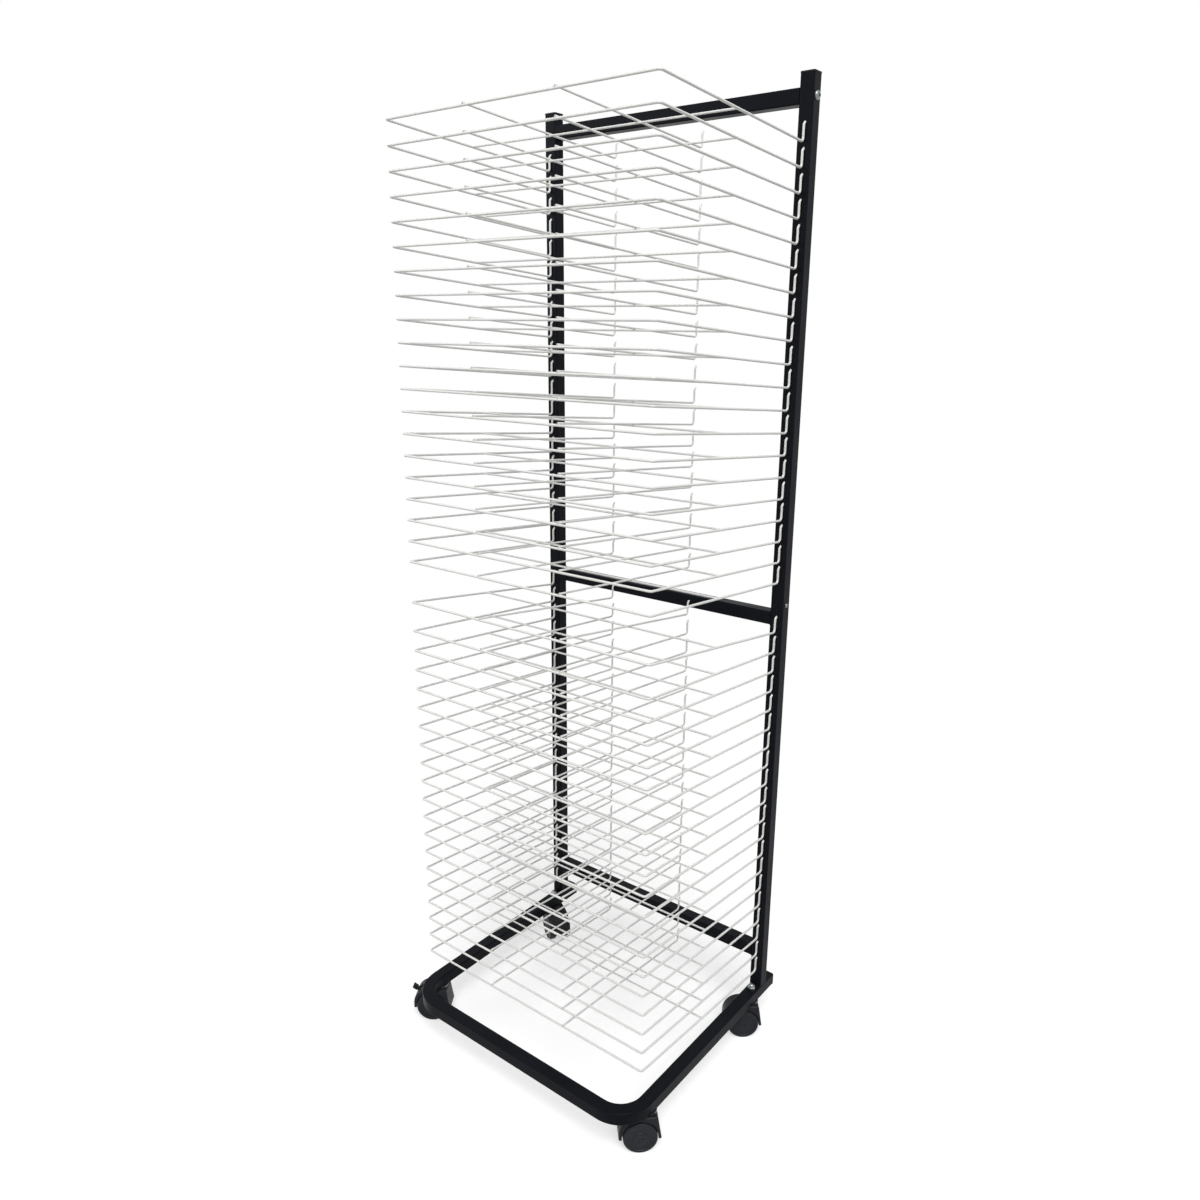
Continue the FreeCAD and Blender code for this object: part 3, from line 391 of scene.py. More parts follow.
def moulded_material(name, rgb):
    """Dark moulded plastic with the fine spark-eroded grain of its mould.

    Matt to satin, with soft flow shading and small lighter scuffs.
    """
    material, tree, coords = new_material(name)
    # The real grain is about 0.1 mm; 1 mm is the finest that shows.
    grain = add_node(
        tree, "ShaderNodeTexNoise", noise_at(coords, 1.0, Detail=3.0, Roughness=0.6)
    ).outputs["Fac"]
    flow = add_node(tree, "ShaderNodeTexNoise", noise_at(coords, 22.0)).outputs["Fac"]
    scuffs = add_node(
        tree, "ShaderNodeTexNoise", noise_at(coords, 5.0, Detail=6.0, Roughness=0.7)
    ).outputs["Fac"]
    base = add_node(
        tree,
        "ShaderNodeMix",
        {"Factor": flow, "A": shade(0.8, rgb), "B": shade(1.25, rgb)},
        data_type="RGBA",
    ).outputs["Result"]
    worn = add_node(
        tree,
        "ShaderNodeMapRange",
        {"Value": scuffs, "From Min": 0.60, "From Max": 0.72, "To Max": 0.35},
    ).outputs["Result"]
    base = add_node(
        tree, "ShaderNodeMix", {"Factor": worn, "A": base, "B": shade(3.0, rgb)}, data_type="RGBA"
    ).outputs["Result"]
    gloss = add_node(
        tree, "ShaderNodeMapRange", {"Value": flow, **NOISE_SPAN, "To Min": 0.40, "To Max": 0.52}
    ).outputs["Result"]
    bump = add_node(
        tree, "ShaderNodeBump", {"Height": grain, "Strength": 0.35, "Distance": 0.05 * MM}
    ).outputs["Normal"]
    return shaded(material, tree, base, gloss, bump, {"Specular IOR Level": 0.2})


def zinc_material(name, rgb):
    """Bright zinc plate on cold-headed steel.

    A greyish metal with soft cloudy spots of blue and straw and a fine tumbled surface.
    """
    material, tree, coords = new_material(name)
    clouds = add_node(tree, "ShaderNodeTexNoise", noise_at(coords, 6.0, Detail=3.0)).outputs["Fac"]
    tumbled = add_node(tree, "ShaderNodeTexNoise", noise_at(coords, 0.8, Detail=3.0)).outputs["Fac"]
    red, green, blue = rgb
    straw = (red * 1.02, green * 0.99, blue * 0.90, 1.0)
    bluish = (red * 0.90, green * 0.96, blue * 1.03, 1.0)
    base = add_node(
        tree, "ShaderNodeMix", {"Factor": clouds, "A": bluish, "B": straw}, data_type="RGBA"
    ).outputs["Result"]
    gloss = add_node(
        tree,
        "ShaderNodeMapRange",
        {"Value": tumbled, **NOISE_SPAN, "To Min": 0.26, "To Max": 0.42},
    ).outputs["Result"]
    bump = add_node(
        tree, "ShaderNodeBump", {"Height": tumbled, "Strength": 0.2, "Distance": 0.02 * MM}
    ).outputs["Normal"]
    return shaded(material, tree, base, gloss, bump, {"Metallic": 1.0})


def shaded(material, tree, base, gloss, bump, constants):
    """Closes a material with a Principled shader."""
    inputs = {"Base Color": base, "Roughness": gloss, "Normal": bump, **constants}
    shader = add_node(tree, "ShaderNodeBsdfPrincipled", inputs)
    add_node(tree, "ShaderNodeOutputMaterial", {"Surface": shader.outputs["BSDF"]})
    return material


# Each material slot of the frame with its finish: the material's name, its maker and its colour.
FINISHES = {
    "black_powder_coat": ("black_powder_coated_steel", powder_coat_material, "powder_coat"),
    "white_wire_coat": ("white_epoxy_coated_wire", wire_coat_material, "wire_coat"),
    "black_plastic": ("black_moulded_polyethylene", moulded_material, "cap_plastic"),
    "charcoal_nylon": ("charcoal_moulded_nylon", moulded_material, "hood_nylon"),
    "wheel_nylon": ("charcoal_nylon_wheel", moulded_material, "wheel_nylon"),
    "zinc_plate": ("zinc_plated_steel", zinc_material, "zinc"),
}


def finish(slot):
    """The material of a slot, made the first time it is asked for."""
    name, make, colour_name = FINISHES[slot]
    rgb = getattr(bpy.context.scene.rack_colours, colour_name)
    return bpy.data.materials.get(name) or make(name, rgb)


def dress_node(node, slot):
    """Gives a node of the frame its finish."""
    for material_slot in frame["nodes"][node].material_slots:
        material_slot.material = finish(slot)


# ---------------------------------------------------------------- mesh helpers


def ring(bm, centre, along, radius, sides):
    """The edges of a new circle that faces along a direction."""
    turn = along.to_track_quat("Z", "Y").to_matrix().to_4x4()
    made = bmesh.ops.create_circle(
        bm, radius=radius, segments=sides, matrix=Matrix.Translation(centre) @ turn
    )
    return edges_among(made["verts"])


def edges_among(verts):
    """Edges whose two ends are both among the given vertices."""
    chosen = set(verts)
    found = {edge for vert in chosen for edge in vert.link_edges}
    return [edge for edge in found if chosen.issuperset(edge.verts)]


def verts_of(geometry):
    """The vertices among what an operator returns."""
    return [item for item in geometry if isinstance(item, bmesh.types.BMVert)]


def verts_along(parts):
    """The vertices of edges or faces, each once."""
    return list({vert for part in parts for vert in part.verts})


def edges_of(geometry):
    """The edges among what an operator returns."""
    return [item for item in geometry if isinstance(item, bmesh.types.BMEdge)]


def run_on(bm, edges, step):
    """Draws a ring out by a step and returns the new ring."""
    verts = verts_of(bmesh.ops.extrude_edge_only(bm, edges=edges)["geom"])
    bmesh.ops.translate(bm, verts=verts, vec=step)
    return edges_among(verts)


def bend_on(bm, edges, centre, axis, angle, steps):
    """Draws a ring round a bend and returns the new ring."""
    geometry = verts_along(edges) + edges
    made = bmesh.ops.spin(
        bm, geom=geometry, cent=centre, axis=axis, dvec=(0, 0, 0), angle=angle, steps=steps
    )
    return edges_of(made["geom_last"])


def close_end(bm, edges, rounding):
    """Caps a ring and rounds its rim."""
    bmesh.ops.edgeloop_fill(bm, edges=edges)
    if rounding:
        bevel(bm, edges, rounding, 2)


def bevel(bm, edges, offset, segments):
    """Rounds or chamfers edges."""
    bmesh.ops.bevel(
        bm,
        geom=edges,
        offset=offset,
        offset_type="OFFSET",
        segments=segments,
        profile=0.5,
        affect="EDGES",
        clamp_overlap=True,
        material=-1,
    )


def bent_wire(bm, points, bends, diameter, sides):
    """A round wire along straight runs joined by bends, its cut ends slightly rounded."""
    radius = diameter / 2
    rounding = radius / 3
    here = points[0]
    first = edges = ring(bm, here, (points[1] - here).normalized(), radius, sides)
    for before, corner, after, bend in zip(points, points[1:], points[2:], bends):
        inward, outward = (before - corner).normalized(), (after - corner).normalized()
        half = inward.angle(outward) / 2
        start = corner + inward * bend / math.tan(half)
        centre = corner + (inward + outward).normalized() * bend / math.sin(half)
        turn = math.pi - 2 * half
        edges = run_on(bm, edges, start - here)
        steps = max(FEWEST_STEPS, round(turn / BEND_STEP))
        edges = bend_on(bm, edges, centre, outward.cross(inward).normalized(), turn, steps)
        here = corner + outward * bend / math.tan(half)
    edges = run_on(bm, edges, points[-1] - here)
    close_end(bm, first, rounding)
    close_end(bm, edges, rounding)


def nugget(bm, centre, size, turn):
    """Metal squeezed out round a weld, as a flattened ball tinted darker towards steel: partly a thin
    coat over the weld, partly painted shade where the wires cross.
    """
    place = Matrix.Translation(centre) @ turn @ Matrix.Diagonal((*size, 1.0))
    made = bmesh.ops.create_uvsphere(bm, u_segments=10, v_segments=6, radius=1.0, matrix=place)
    for vert in made["verts"]:
        # Weld tinted towards steel: partly a thin coat, partly painted shade where the wires cross.
        vert[bm.verts.layers.float[STEEL_AND_SHADE]] = STEEL_AND_SHADE_AT_WELD


def tint_end_steel_and_shade(bm, end, before, diameter):
    """Marks the sheared end of a wire that comes from another point, to be tinted darker towards
    steel: partly a thin coat on the cut, partly painted shade where a rib's front end meets the wire
    below it.
    """
    along = (end - before).normalized()
    for vert in bm.verts:
        offset = vert.co - end
        if offset.length < diameter and abs(offset.dot(along)) < END_DEPTH:
            vert[bm.verts.layers.float[STEEL_AND_SHADE]] = STEEL_AND_SHADE_AT_END


def new_mesh(bm, name, sharp=40.0):
    """Turns a bmesh into a smooth mesh; edges that turn by more than some degrees stay sharp."""
    bmesh.ops.recalc_face_normals(bm, faces=bm.faces)
    mesh = bpy.data.meshes.new(name)
    bm.to_mesh(mesh)
    bm.free()
    mesh.shade_smooth()
    mesh.set_sharp_from_angle(angle=sharp * DEGREE)
    return mesh


def new_piece(name, mesh, body, slot, nodes=()):
    """Puts a mesh in the scene as a piece that rides on a body and stands for nodes."""
    piece = bpy.data.objects.new(name, mesh)
    bpy.context.scene.collection.objects.link(piece)
    mesh.materials.append(finish(slot))
    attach(piece, body)
    if nodes:
        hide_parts(*nodes)


# ---------------------------------------------------------------- wire shelves


def shelf_point(sizes, x, reach, lift=0.0):
    """A point of the tilted shelf: distance from the post face along it, lift square to it."""
    sine, cosine = math.sin(sizes.tilt), math.cos(sizes.tilt)
    return Vector((x, lift * sine - reach * cosine, reach * sine + lift * cosine))


def outer_wire(bm, sizes, side):
    """Hook, upright, side, front, side, upright and hook, bent from one wire."""
    upright_y = -(sizes.frame_wire / 2 + sizes.post_gap)
    hole = Vector((0, sizes.post_wall / 2, sizes.hook_rise))
    along = Vector((0, math.sin(sizes.hook_lean), math.cos(sizes.hook_lean)))
    tip = hole + along * sizes.hook_length
    bend = hole + along * ((upright_y - hole.y) / along.y)
    rear = shelf_point(sizes, 0, -upright_y / math.cos(sizes.tilt))
    front = shelf_point(sizes, 0, sizes.reach)
    half = [tip, bend, rear, front]
    left, right = Vector((-side, 0, 0)), Vector((side, 0, 0))
    points = [point + left for point in half] + [point + right for point in reversed(half)]
    bends = [sizes.hook_bend, sizes.rear_corner, sizes.front_corner]
    bent_wire(bm, points, bends + bends[::-1], sizes.frame_wire, sides=16)


def cross_wire(bm, sizes, side):
    """The straight wire between the sides, its top level with theirs."""
    lift = (sizes.frame_wire - sizes.rib_wire) / 2
    half = side - sizes.frame_wire / 4  # its ends stop inside the side wires
    start = shelf_point(sizes, -half, sizes.cross_reach, lift)
    stop = shelf_point(sizes, half, sizes.cross_reach, lift)
    bent_wire(bm, [start, stop], [], sizes.rib_wire, sides=14)


def inner_wire(bm, sizes, x):
    """A rib on the front and the cross wire, with its tail turned up at the rear."""
    lift = (sizes.frame_wire + sizes.rib_wire) / 2 - sizes.weld_set
    end_reach = sizes.reach + sizes.frame_wire / 2 - sizes.rib_front_gap
    front = shelf_point(sizes, x, end_reach, lift)
    corner_reach = (sizes.tail_distance + lift * math.sin(sizes.tilt)) / math.cos(sizes.tilt)
    corner = shelf_point(sizes, x, corner_reach, lift)
    top = corner + Vector((0, 0, sizes.tail_rise))
    lean = Vector((0, math.sin(sizes.tail_lean), math.cos(sizes.tail_lean)))
    points = [front, corner, top, top + lean * sizes.tail_tip]
    bent_wire(bm, points, [sizes.rear_corner, sizes.hook_bend], sizes.rib_wire, sides=14)
    # Both cut ends tinted towards steel; at the front end this is also painted shade where the rib
    # meets the front wire.
    tint_end_steel_and_shade(bm, points[0], points[1], sizes.rib_wire)
    tint_end_steel_and_shade(bm, points[-1], points[-2], sizes.rib_wire)


def shelf_welds(bm, sizes, side):
    """Resistance welds: the ribs on the wires below them and the cross wire's two ends."""
    tilt = Matrix.Rotation(-sizes.tilt, 4, "X")
    bulge = sizes.weld_bulge
    width = NUGGET_WIDTH * bulge
    frame_r, rib_r = sizes.frame_wire / 2, sizes.rib_wire / 2
    for x in (-sizes.rib_offset, sizes.rib_offset):
        for reach, below in ((sizes.reach, frame_r), (sizes.cross_reach, rib_r)):
            centre = shelf_point(sizes, x, reach, frame_r)
            nugget(bm, centre, (rib_r + bulge, below + bulge, width), tilt)
    for x in (frame_r - side, side - frame_r):
        centre = shelf_point(sizes, x, sizes.cross_reach, (frame_r - rib_r) / 2)
        nugget(bm, centre, (width, rib_r + bulge, frame_r), tilt)


class RACK_OT_shelves(bpy.types.Operator):
    """Makes the forty wire shelves from one bent and welded pattern"""

    bl_idname = "rack.shelves"
    bl_label = "Wire shelves"

    def execute(self, context):
        sizes = context.scene.rack_shelf_sizes
        left, right = (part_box(post) for post in POSTS)
        side = (right[0].x + right[1].x - left[0].x - left[1].x) / 4
        bm = bmesh.new()
        bm.verts.layers.float.new(STEEL_AND_SHADE)
        outer_wire(bm, sizes, side)
        cross_wire(bm, sizes, side)
        for x in (-sizes.rib_offset, sizes.rib_offset):
            inner_wire(bm, sizes, x)
        shelf_welds(bm, sizes, side)
        pattern = new_mesh(bm, "shelf_pattern")
        hole = Vector((0, sizes.post_wall / 2, sizes.hook_rise))
        for shelf in SHELVES:
            mesh = pattern.copy()
            mesh.name = f"wire_{shelf}"
            mesh.transform(Matrix.Translation(-hole))
            if shelf == RAISED_SHELF:
                mesh.transform(Matrix.Rotation(-sizes.raised, 4, "X"))
            mesh.transform(Matrix.Translation(JOINTS[f"{shelf}_lift"]["pos_m"]))
            new_piece(f"wire_{shelf}", mesh, shelf, "white_wire_coat", [shelf])
        bpy.data.meshes.remove(pattern)
        return {"FINISHED"}


# ---------------------------------------------------------------- tube frame


def weld_bead(bm, start, stop, radius):
    """A rippled fillet of weld between two points."""
    along = stop - start
    steps = max(FEWEST_STEPS, round(along.length / radius))
    edges = first = ring(bm, start, along.normalized(), radius * BEAD_START, sides=10)
    for step in range(steps):
        edges = run_on(bm, edges, along / steps)
        centre = start + along * (step + 1) / steps
        grow = BEAD_RIPPLE[step % 2] if step else BEAD_RISE
        about = Matrix.Translation(-centre)
        bmesh.ops.scale(bm, verts=verts_along(edges), vec=(grow,) * 3, space=about)
    close_end(bm, first, 0)
    close_end(bm, edges, 0)


class RACK_OT_frame_tubes(bpy.types.Operator):
    """Powder coats the tubes and adds the weld beads at the rails and the feet of the posts"""

    bl_idname = "rack.frame_tubes"
    bl_label = "Tube frame"

    def execute(self, context):
        leg = context.scene.rack_frame_sizes.weld_leg
        for tube in TUBES:
            dress_node(tube, "black_powder_coat")
        bm = bmesh.new()
        for rail in ("middle_rail", "bottom_rail"):
            low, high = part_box(rail)
            for x in (low.x, high.x):
                for z in (low.z, high.z):
                    start, stop = Vector((x, low.y + leg, z)), Vector((x, high.y - leg, z))
                    weld_bead(bm, start, stop, leg)
        for post in POSTS:
            low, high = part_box(post)
            for y in (low.y, high.y):
                start, stop = Vector((low.x + leg, y, low.z)), Vector((high.x - leg, y, low.z))
                weld_bead(bm, start, stop, leg)
        new_piece("weld_beads", new_mesh(bm, "weld_beads"), "frame", "black_powder_coat")
        return {"FINISHED"}


def tube_cap(sizes, width):
    """A cap about its own tube end: a cover plate, one corner of its underside drawn down."""
    bm = bmesh.new()
    side = width + 2 * sizes.cap_lip
    middle = sizes.cap_plate / 2
    raised = Matrix.Translation(UP * middle)
    size = Matrix.Diagonal((side, side, sizes.cap_plate, 1.0))
    bmesh.ops.create_cube(bm, size=1.0, matrix=raised @ size)
    upright = [e for e in bm.edges if abs(e.verts[0].co.z - e.verts[1].co.z) > middle]
    bevel(bm, upright, sizes.cap_corner, 4)
    top = [e for e in bm.edges if all(v.co.z > middle for v in e.verts)]
    bevel(bm, top, sizes.cap_edge, 3)
    under = min(bm.faces, key=lambda face: face.calc_center_median().z)
    bmesh.ops.inset_region(bm, faces=[under], thickness=sizes.cap_lip + sizes.plug_inset)
    under = min(bm.faces, key=lambda face: (face.calc_center_median().z, face.calc_area()))
    drawn = bmesh.ops.extrude_discrete_faces(bm, faces=[under])["faces"]
    bmesh.ops.translate(bm, verts=verts_along(drawn), vec=-UP * sizes.cap_plug)
    return bm


def merge_places(bm, places, merged=None):
    """Copies a shape to every place, beside what is merged already, and drops the original."""
    pattern = bpy.data.meshes.new("pattern")
    bm.to_mesh(pattern)
    bm.free()
    if merged is None:
        merged = bmesh.new()
    for place in places:
        copy = pattern.copy()
        copy.transform(place)
        merged.from_mesh(copy)
        bpy.data.meshes.remove(copy)
    bpy.data.meshes.remove(pattern)
    return merged


class RACK_OT_tube_caps(bpy.types.Operator):
    """Makes the plastic caps in the post tops and the rear ends of the legs"""

    bl_idname = "rack.tube_caps"
    bl_label = "Tube caps"

    def execute(self, context):
        low_leg, high_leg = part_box("base_tube")
        places = []
        for post in POSTS:
            low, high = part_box(post)
            middle = (low + high) / 2
            places.append(Matrix.Translation((middle.x, middle.y, high.z)))
            rear = Vector((middle.x, high_leg.y, (low_leg.z + high_leg.z) / 2))
            places.append(Matrix.Translation(rear) @ Matrix.Rotation(-math.pi / 2, 4, "X"))
        bm = merge_places(tube_cap(context.scene.rack_frame_sizes, high.x - low.x), places)
        mesh = new_mesh(bm, "tube_caps", sharp=50.0)
        new_piece("tube_caps", mesh, "frame", "black_plastic", ["end_caps"])
        return {"FINISHED"}


# ---------------------------------------------------------------- casters and fasteners


def turned(outline, steps):
    """Spins an outline of radii and heights round Z into a closed part."""
    bm = bmesh.new()
    verts = [bm.verts.new((radius, 0, height)) for radius, height in outline]
    edges = [bm.edges.new(pair) for pair in zip(verts, verts[1:])]
    bmesh.ops.spin(
        bm,
        geom=verts + edges,
        cent=(0, 0, 0),
        axis=(0, 0, 1),
        dvec=(0, 0, 0),
        angle=2 * math.pi,
        steps=steps,
        use_merge=True,
    )
    bmesh.ops.remove_doubles(bm, verts=bm.verts, dist=TOUCH)
    return bm


def creases(bm, radius, outer):
    """The creases of a turned part that lie on its rim, or else all those within it."""
    found = []
    for edge in bm.edges:
        middle = (edge.verts[0].co + edge.verts[1].co) / 2
        at_rim = middle.xy.length > NEAR_RIM * radius
        if at_rim == outer and edge.calc_face_angle(0.0) > CREASE:
            found.append(edge)
    return found


def wheel(sizes, radius):
    """A wheel on Z: flat inner face, rounded tread, dished outer face and a hub with a dimple."""
    inner, outer = sizes.wheel_gap, sizes.wheel_gap + sizes.wheel_width
    dished, slope = outer - sizes.dish_depth, sizes.dish_depth / 2
    hub, dimple = sizes.hub_radius, sizes.hub_radius / 3
    outline = (
        (0, inner),
        (radius, inner),
        (radius, outer),
        (sizes.dish_radius, outer),
        (sizes.dish_radius - slope, dished),
        (hub + slope, dished),
        (hub, outer),
        (dimple, outer),
        (dimple - slope, dished),
        (0, dished),
    )
    bm = turned(outline, steps=56)
    bevel(bm, creases(bm, radius, outer=True), sizes.rim_rounding, 5)
    bevel(bm, creases(bm, radius, outer=False), slope / 2, 2)
    return bm


def axle(sizes):
    """The steel axle on Z between the two wheels, its ends chamfered."""
    seat = sizes.wheel_width / 3
    half, radius = sizes.wheel_gap + seat, sizes.axle_radius
    chamfer = radius / 8
    bm = turned(((0, -half), (radius, -half), (radius, half), (0, half)), steps=24)
    bevel(bm, creases(bm, radius, outer=True), chamfer, 1)
    return bm


def hood_lips(sizes, hub):
    """The rolled lips round the two arches of a hood."""
    bm = bmesh.new()
    for side in (-sizes.hood_half, sizes.hood_half):
        centre = Vector((hub.x, side, hub.z))
        start = centre + Vector((sizes.lip_reach, 0, 0))
        first = ring(bm, start, UP, sizes.lip_radius, sides=8)
        last = bend_on(bm, first, centre, (0, -1, 0), math.pi, steps=36)
        close_end(bm, first, 0)
        close_end(bm, last, 0)
    return bm


def plate(bm, start, stop, width, thickness, rounding):
    """A flat bar along X with its edges rounded."""
    middle = Matrix.Translation(((start + stop) / 2, 0, 0))
    size = Matrix.Diagonal((stop - start, width, thickness, 1.0))
    made = bmesh.ops.create_cube(bm, size=1.0, matrix=middle @ size)
    bevel(bm, edges_among(made["verts"]), rounding, 2)


def rod(bm, middle, radius, length):
    """A round bar along Y with its rims rounded."""
    turn = Matrix.Rotation(math.pi / 2, 4, "X")
    rounding = radius / 6
    made = bmesh.ops.create_cone(
        bm,
        cap_ends=True,
        segments=24,
        radius1=radius,
        radius2=radius,
        depth=length,
        matrix=Matrix.Translation(middle) @ turn,
    )
    rims = [edge for edge in edges_among(made["verts"]) if edge.calc_face_angle(0.0) > CREASE]
    bevel(bm, rims, rounding, 2)


def brake_lever(sizes):
    """A lever about its pivot: barrel, side pins, arm and a wider paddle with three grip ribs."""
    bm = bmesh.new()
    width, thick = sizes.lever_width, sizes.lever_thickness
    start, tip = sizes.paddle_start, sizes.lever_reach
    arm_rounding, paddle_rounding, overlap = thick / 8, thick / 5, thick / 4
    rib_radius, rib_length = thick / 9, sizes.paddle_width * GRIP_LENGTH
    rod(bm, (0, 0, 0), sizes.barrel / 2, width)
    rod(bm, (0, 0, 0), sizes.pin / 2, width + 2 * sizes.pin_length)
    plate(bm, 0.0, start + overlap, width, thick, arm_rounding)
    plate(bm, start, tip, sizes.paddle_width, thick, paddle_rounding)
    for share in GRIP_RIBS:
        rod(bm, (start + share * (tip - start), 0, thick / 2), rib_radius, rib_length)
    return bm


def caster_piece(caster, part, bm, slot, body, nodes=()):
    """Puts a part of a caster in the scene."""
    name = f"{caster}_{part}"
    new_piece(name, new_mesh(bm, name), body, slot, nodes)


class RACK_OT_casters(bpy.types.Operator):
    """Makes the wheels, axles, hood lips and brake levers, and finishes the hoods and stems"""

    bl_idname = "rack.casters"
    bl_label = "Casters"

    def execute(self, context):
        sizes = context.scene.rack_caster_sizes
        across = Matrix.Rotation(-math.pi / 2, 4, "X")
        about = Matrix.Rotation(math.pi, 4, "Z")
        raised = Matrix.Rotation(-sizes.lever_rise, 4, "Y")
        dress_node("caster_stems", "zinc_plate")
        for caster in CASTERS:
            dress_node(f"{caster}_caster_hood", "charcoal_nylon")
            stem = Vector(JOINTS[f"{caster}_caster_swivel"]["pos_m"])
            hub = Vector(JOINTS[f"{caster}_wheels_roll"]["pos_m"])
            along = (hub - stem).xy
            turn = Matrix.Rotation(math.atan2(along.y, along.x), 4, "Z")
            at_hub = Matrix.Translation(hub) @ turn
            at_stem = Matrix.Translation((stem.x, stem.y, 0)) @ turn
            rolling, swivel = f"{caster}_wheels", f"{caster}_swivel"

            wheels = merge_places(wheel(sizes, hub.z), (at_hub @ across, at_hub @ about @ across))
            node = f"{caster}_caster_wheels"
            caster_piece(caster, "wheel_pair", wheels, "wheel_nylon", rolling, [node])
            steel = merge_places(axle(sizes), (at_hub @ across,))
            caster_piece(caster, "axle", steel, "zinc_plate", rolling)
            lips = merge_places(hood_lips(sizes, Vector((along.length, 0, hub.z))), (at_stem,))
            caster_piece(caster, "hood_lips", lips, "charcoal_nylon", swivel)
            if caster in BRAKED:
                pivot = Matrix.Translation(JOINTS[f"{caster}_brake"]["pos_m"])
                lever = merge_places(brake_lever(sizes), (pivot @ turn @ raised,))
                body, node = f"{caster}_lever", f"{caster}_brake_lever"
                caster_piece(caster, "foot_lever", lever, "black_plastic", body, [node])
        return {"FINISHED"}


def cut_level(bm, height, keep_above):
    """Cuts a shape level at a height and keeps what is above it, or else what is below."""
    bmesh.ops.bisect_plane(
        bm,
        geom=bm.verts[:] + bm.edges[:] + bm.faces[:],
        plane_co=UP * height,
        plane_no=UP,
        clear_inner=keep_above,
        clear_outer=not keep_above,
    )


def socket_head(diameter, height, flats):
    """A domed head on Z with a hexagonal socket; its flat underside lies at the origin."""
    bm = bmesh.new()
    size = Matrix.Diagonal((diameter / 2, diameter / 2, height / HEAD_SHARE, 1.0))
    bmesh.ops.create_uvsphere(bm, u_segments=24, v_segments=20, radius=1.0, matrix=size)
    cut_level(bm, 0.0, keep_above=True)
    cut_level(bm, height, keep_above=False)
    rims = [edge for edge in bm.edges if edge.is_boundary]
    low = [edge for edge in rims if edge.verts[0].co.z < height / 2]
    high = [edge for edge in rims if edge not in low]
    close_end(bm, low, 0)
    mouth = run_on(bm, high, Vector())
    for vert in verts_along(mouth):
        facet = math.atan2(vert.co.y, vert.co.x) % (math.pi / 3) - math.pi / 6
        vert.co.xy = vert.co.xy.normalized() * (flats / 2) / math.cos(facet)
    floor = run_on(bm, mouth, -UP * height * SOCKET_SHARE)
    close_end(bm, floor, 0)
    return bm


def dome_nut(sizes):
    """A hexagon nut on Z, chamfered above and below, with a round dome on top."""
    bm = bmesh.new()
    corner = sizes.nut_flats / 2 / math.cos(math.pi / 6)
    low = ring(bm, Vector(), UP, corner, sides=6)
    high = run_on(bm, low, UP * sizes.nut_height)
    close_end(bm, low, 0)
    close_end(bm, high, 0)
    bevel(bm, low + high, sizes.nut_chamfer, 1)
    dome, radius = bmesh.new(), sizes.nut_flats / 2 - sizes.nut_rim
    bmesh.ops.create_uvsphere(dome, u_segments=32, v_segments=24, radius=radius)
    cut_level(dome, -DOME_SINK, keep_above=True)
    return merge_places(dome, [Matrix.Translation(UP * sizes.nut_height)], bm)


class RACK_OT_fasteners(bpy.types.Operator):
    """Makes the bolts of the top rail, the screws of the posts and the nuts of the rear casters"""

    bl_idname = "rack.fasteners"
    bl_label = "Fasteners"

    def execute(self, context):
        sizes = context.scene.rack_frame_sizes
        top_low, top_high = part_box("top_rail")
        middle_low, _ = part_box("middle_rail")
        bolt_z, screw_z = (top_low.z + top_high.z) / 2, middle_low.z + sizes.screw_rise
        bolts, screws, nuts = [], [], []
        for post, side in zip(POSTS, (-1, 1)):
            low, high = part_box(post)
            face = (low, high)[side > 0].x
            turn = Matrix.Rotation(side * math.pi / 2, 4, "Y")
            for places, height in ((bolts, bolt_z), (screws, screw_z)):
                where = Vector((face, (low.y + high.y) / 2, height))
                places.append(Matrix.Translation(where) @ turn)
        for caster, side in (("rear_left", -1), ("rear_right", 1)):
            stem = Vector(JOINTS[f"{caster}_caster_swivel"]["pos_m"])
            seat = Matrix.Translation((stem.x, stem.y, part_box("base_tube")[1].z))
            nuts.append(seat @ Matrix.Rotation(side * sizes.nut_turn, 4, "Z"))

        bolt = socket_head(sizes.bolt_head, sizes.bolt_dome, sizes.bolt_socket)
        screw = socket_head(sizes.screw_head, sizes.screw_dome, sizes.screw_socket)
        heads = merge_places(screw, screws, merge_places(bolt, bolts))
        mesh = new_mesh(heads, "post_bolts", sharp=30.0)
        new_piece("post_bolts", mesh, "frame", "zinc_plate", ["frame_bolts"])
        mesh = new_mesh(merge_places(dome_nut(sizes), nuts), "dome_nuts", sharp=25.0)
        new_piece("dome_nuts", mesh, "frame", "zinc_plate", ["caster_nuts"])
        return {"FINISHED"}


# ---------------------------------------------------------------- studio


def is_seen_ray(tree):
    """One for rays from the camera and for those that gloss and glass send on."""
    path = add_node(tree, "ShaderNodeLightPath").outputs
    seen = path["Is Camera Ray"]
    for kind in ("Is Glossy Ray", "Is Transmission Ray"):
        either = add_node(tree, "ShaderNodeMath", {0: seen, 1: path[kind]}, operation="MAXIMUM")
        seen = either.outputs["Value"]
    return seen


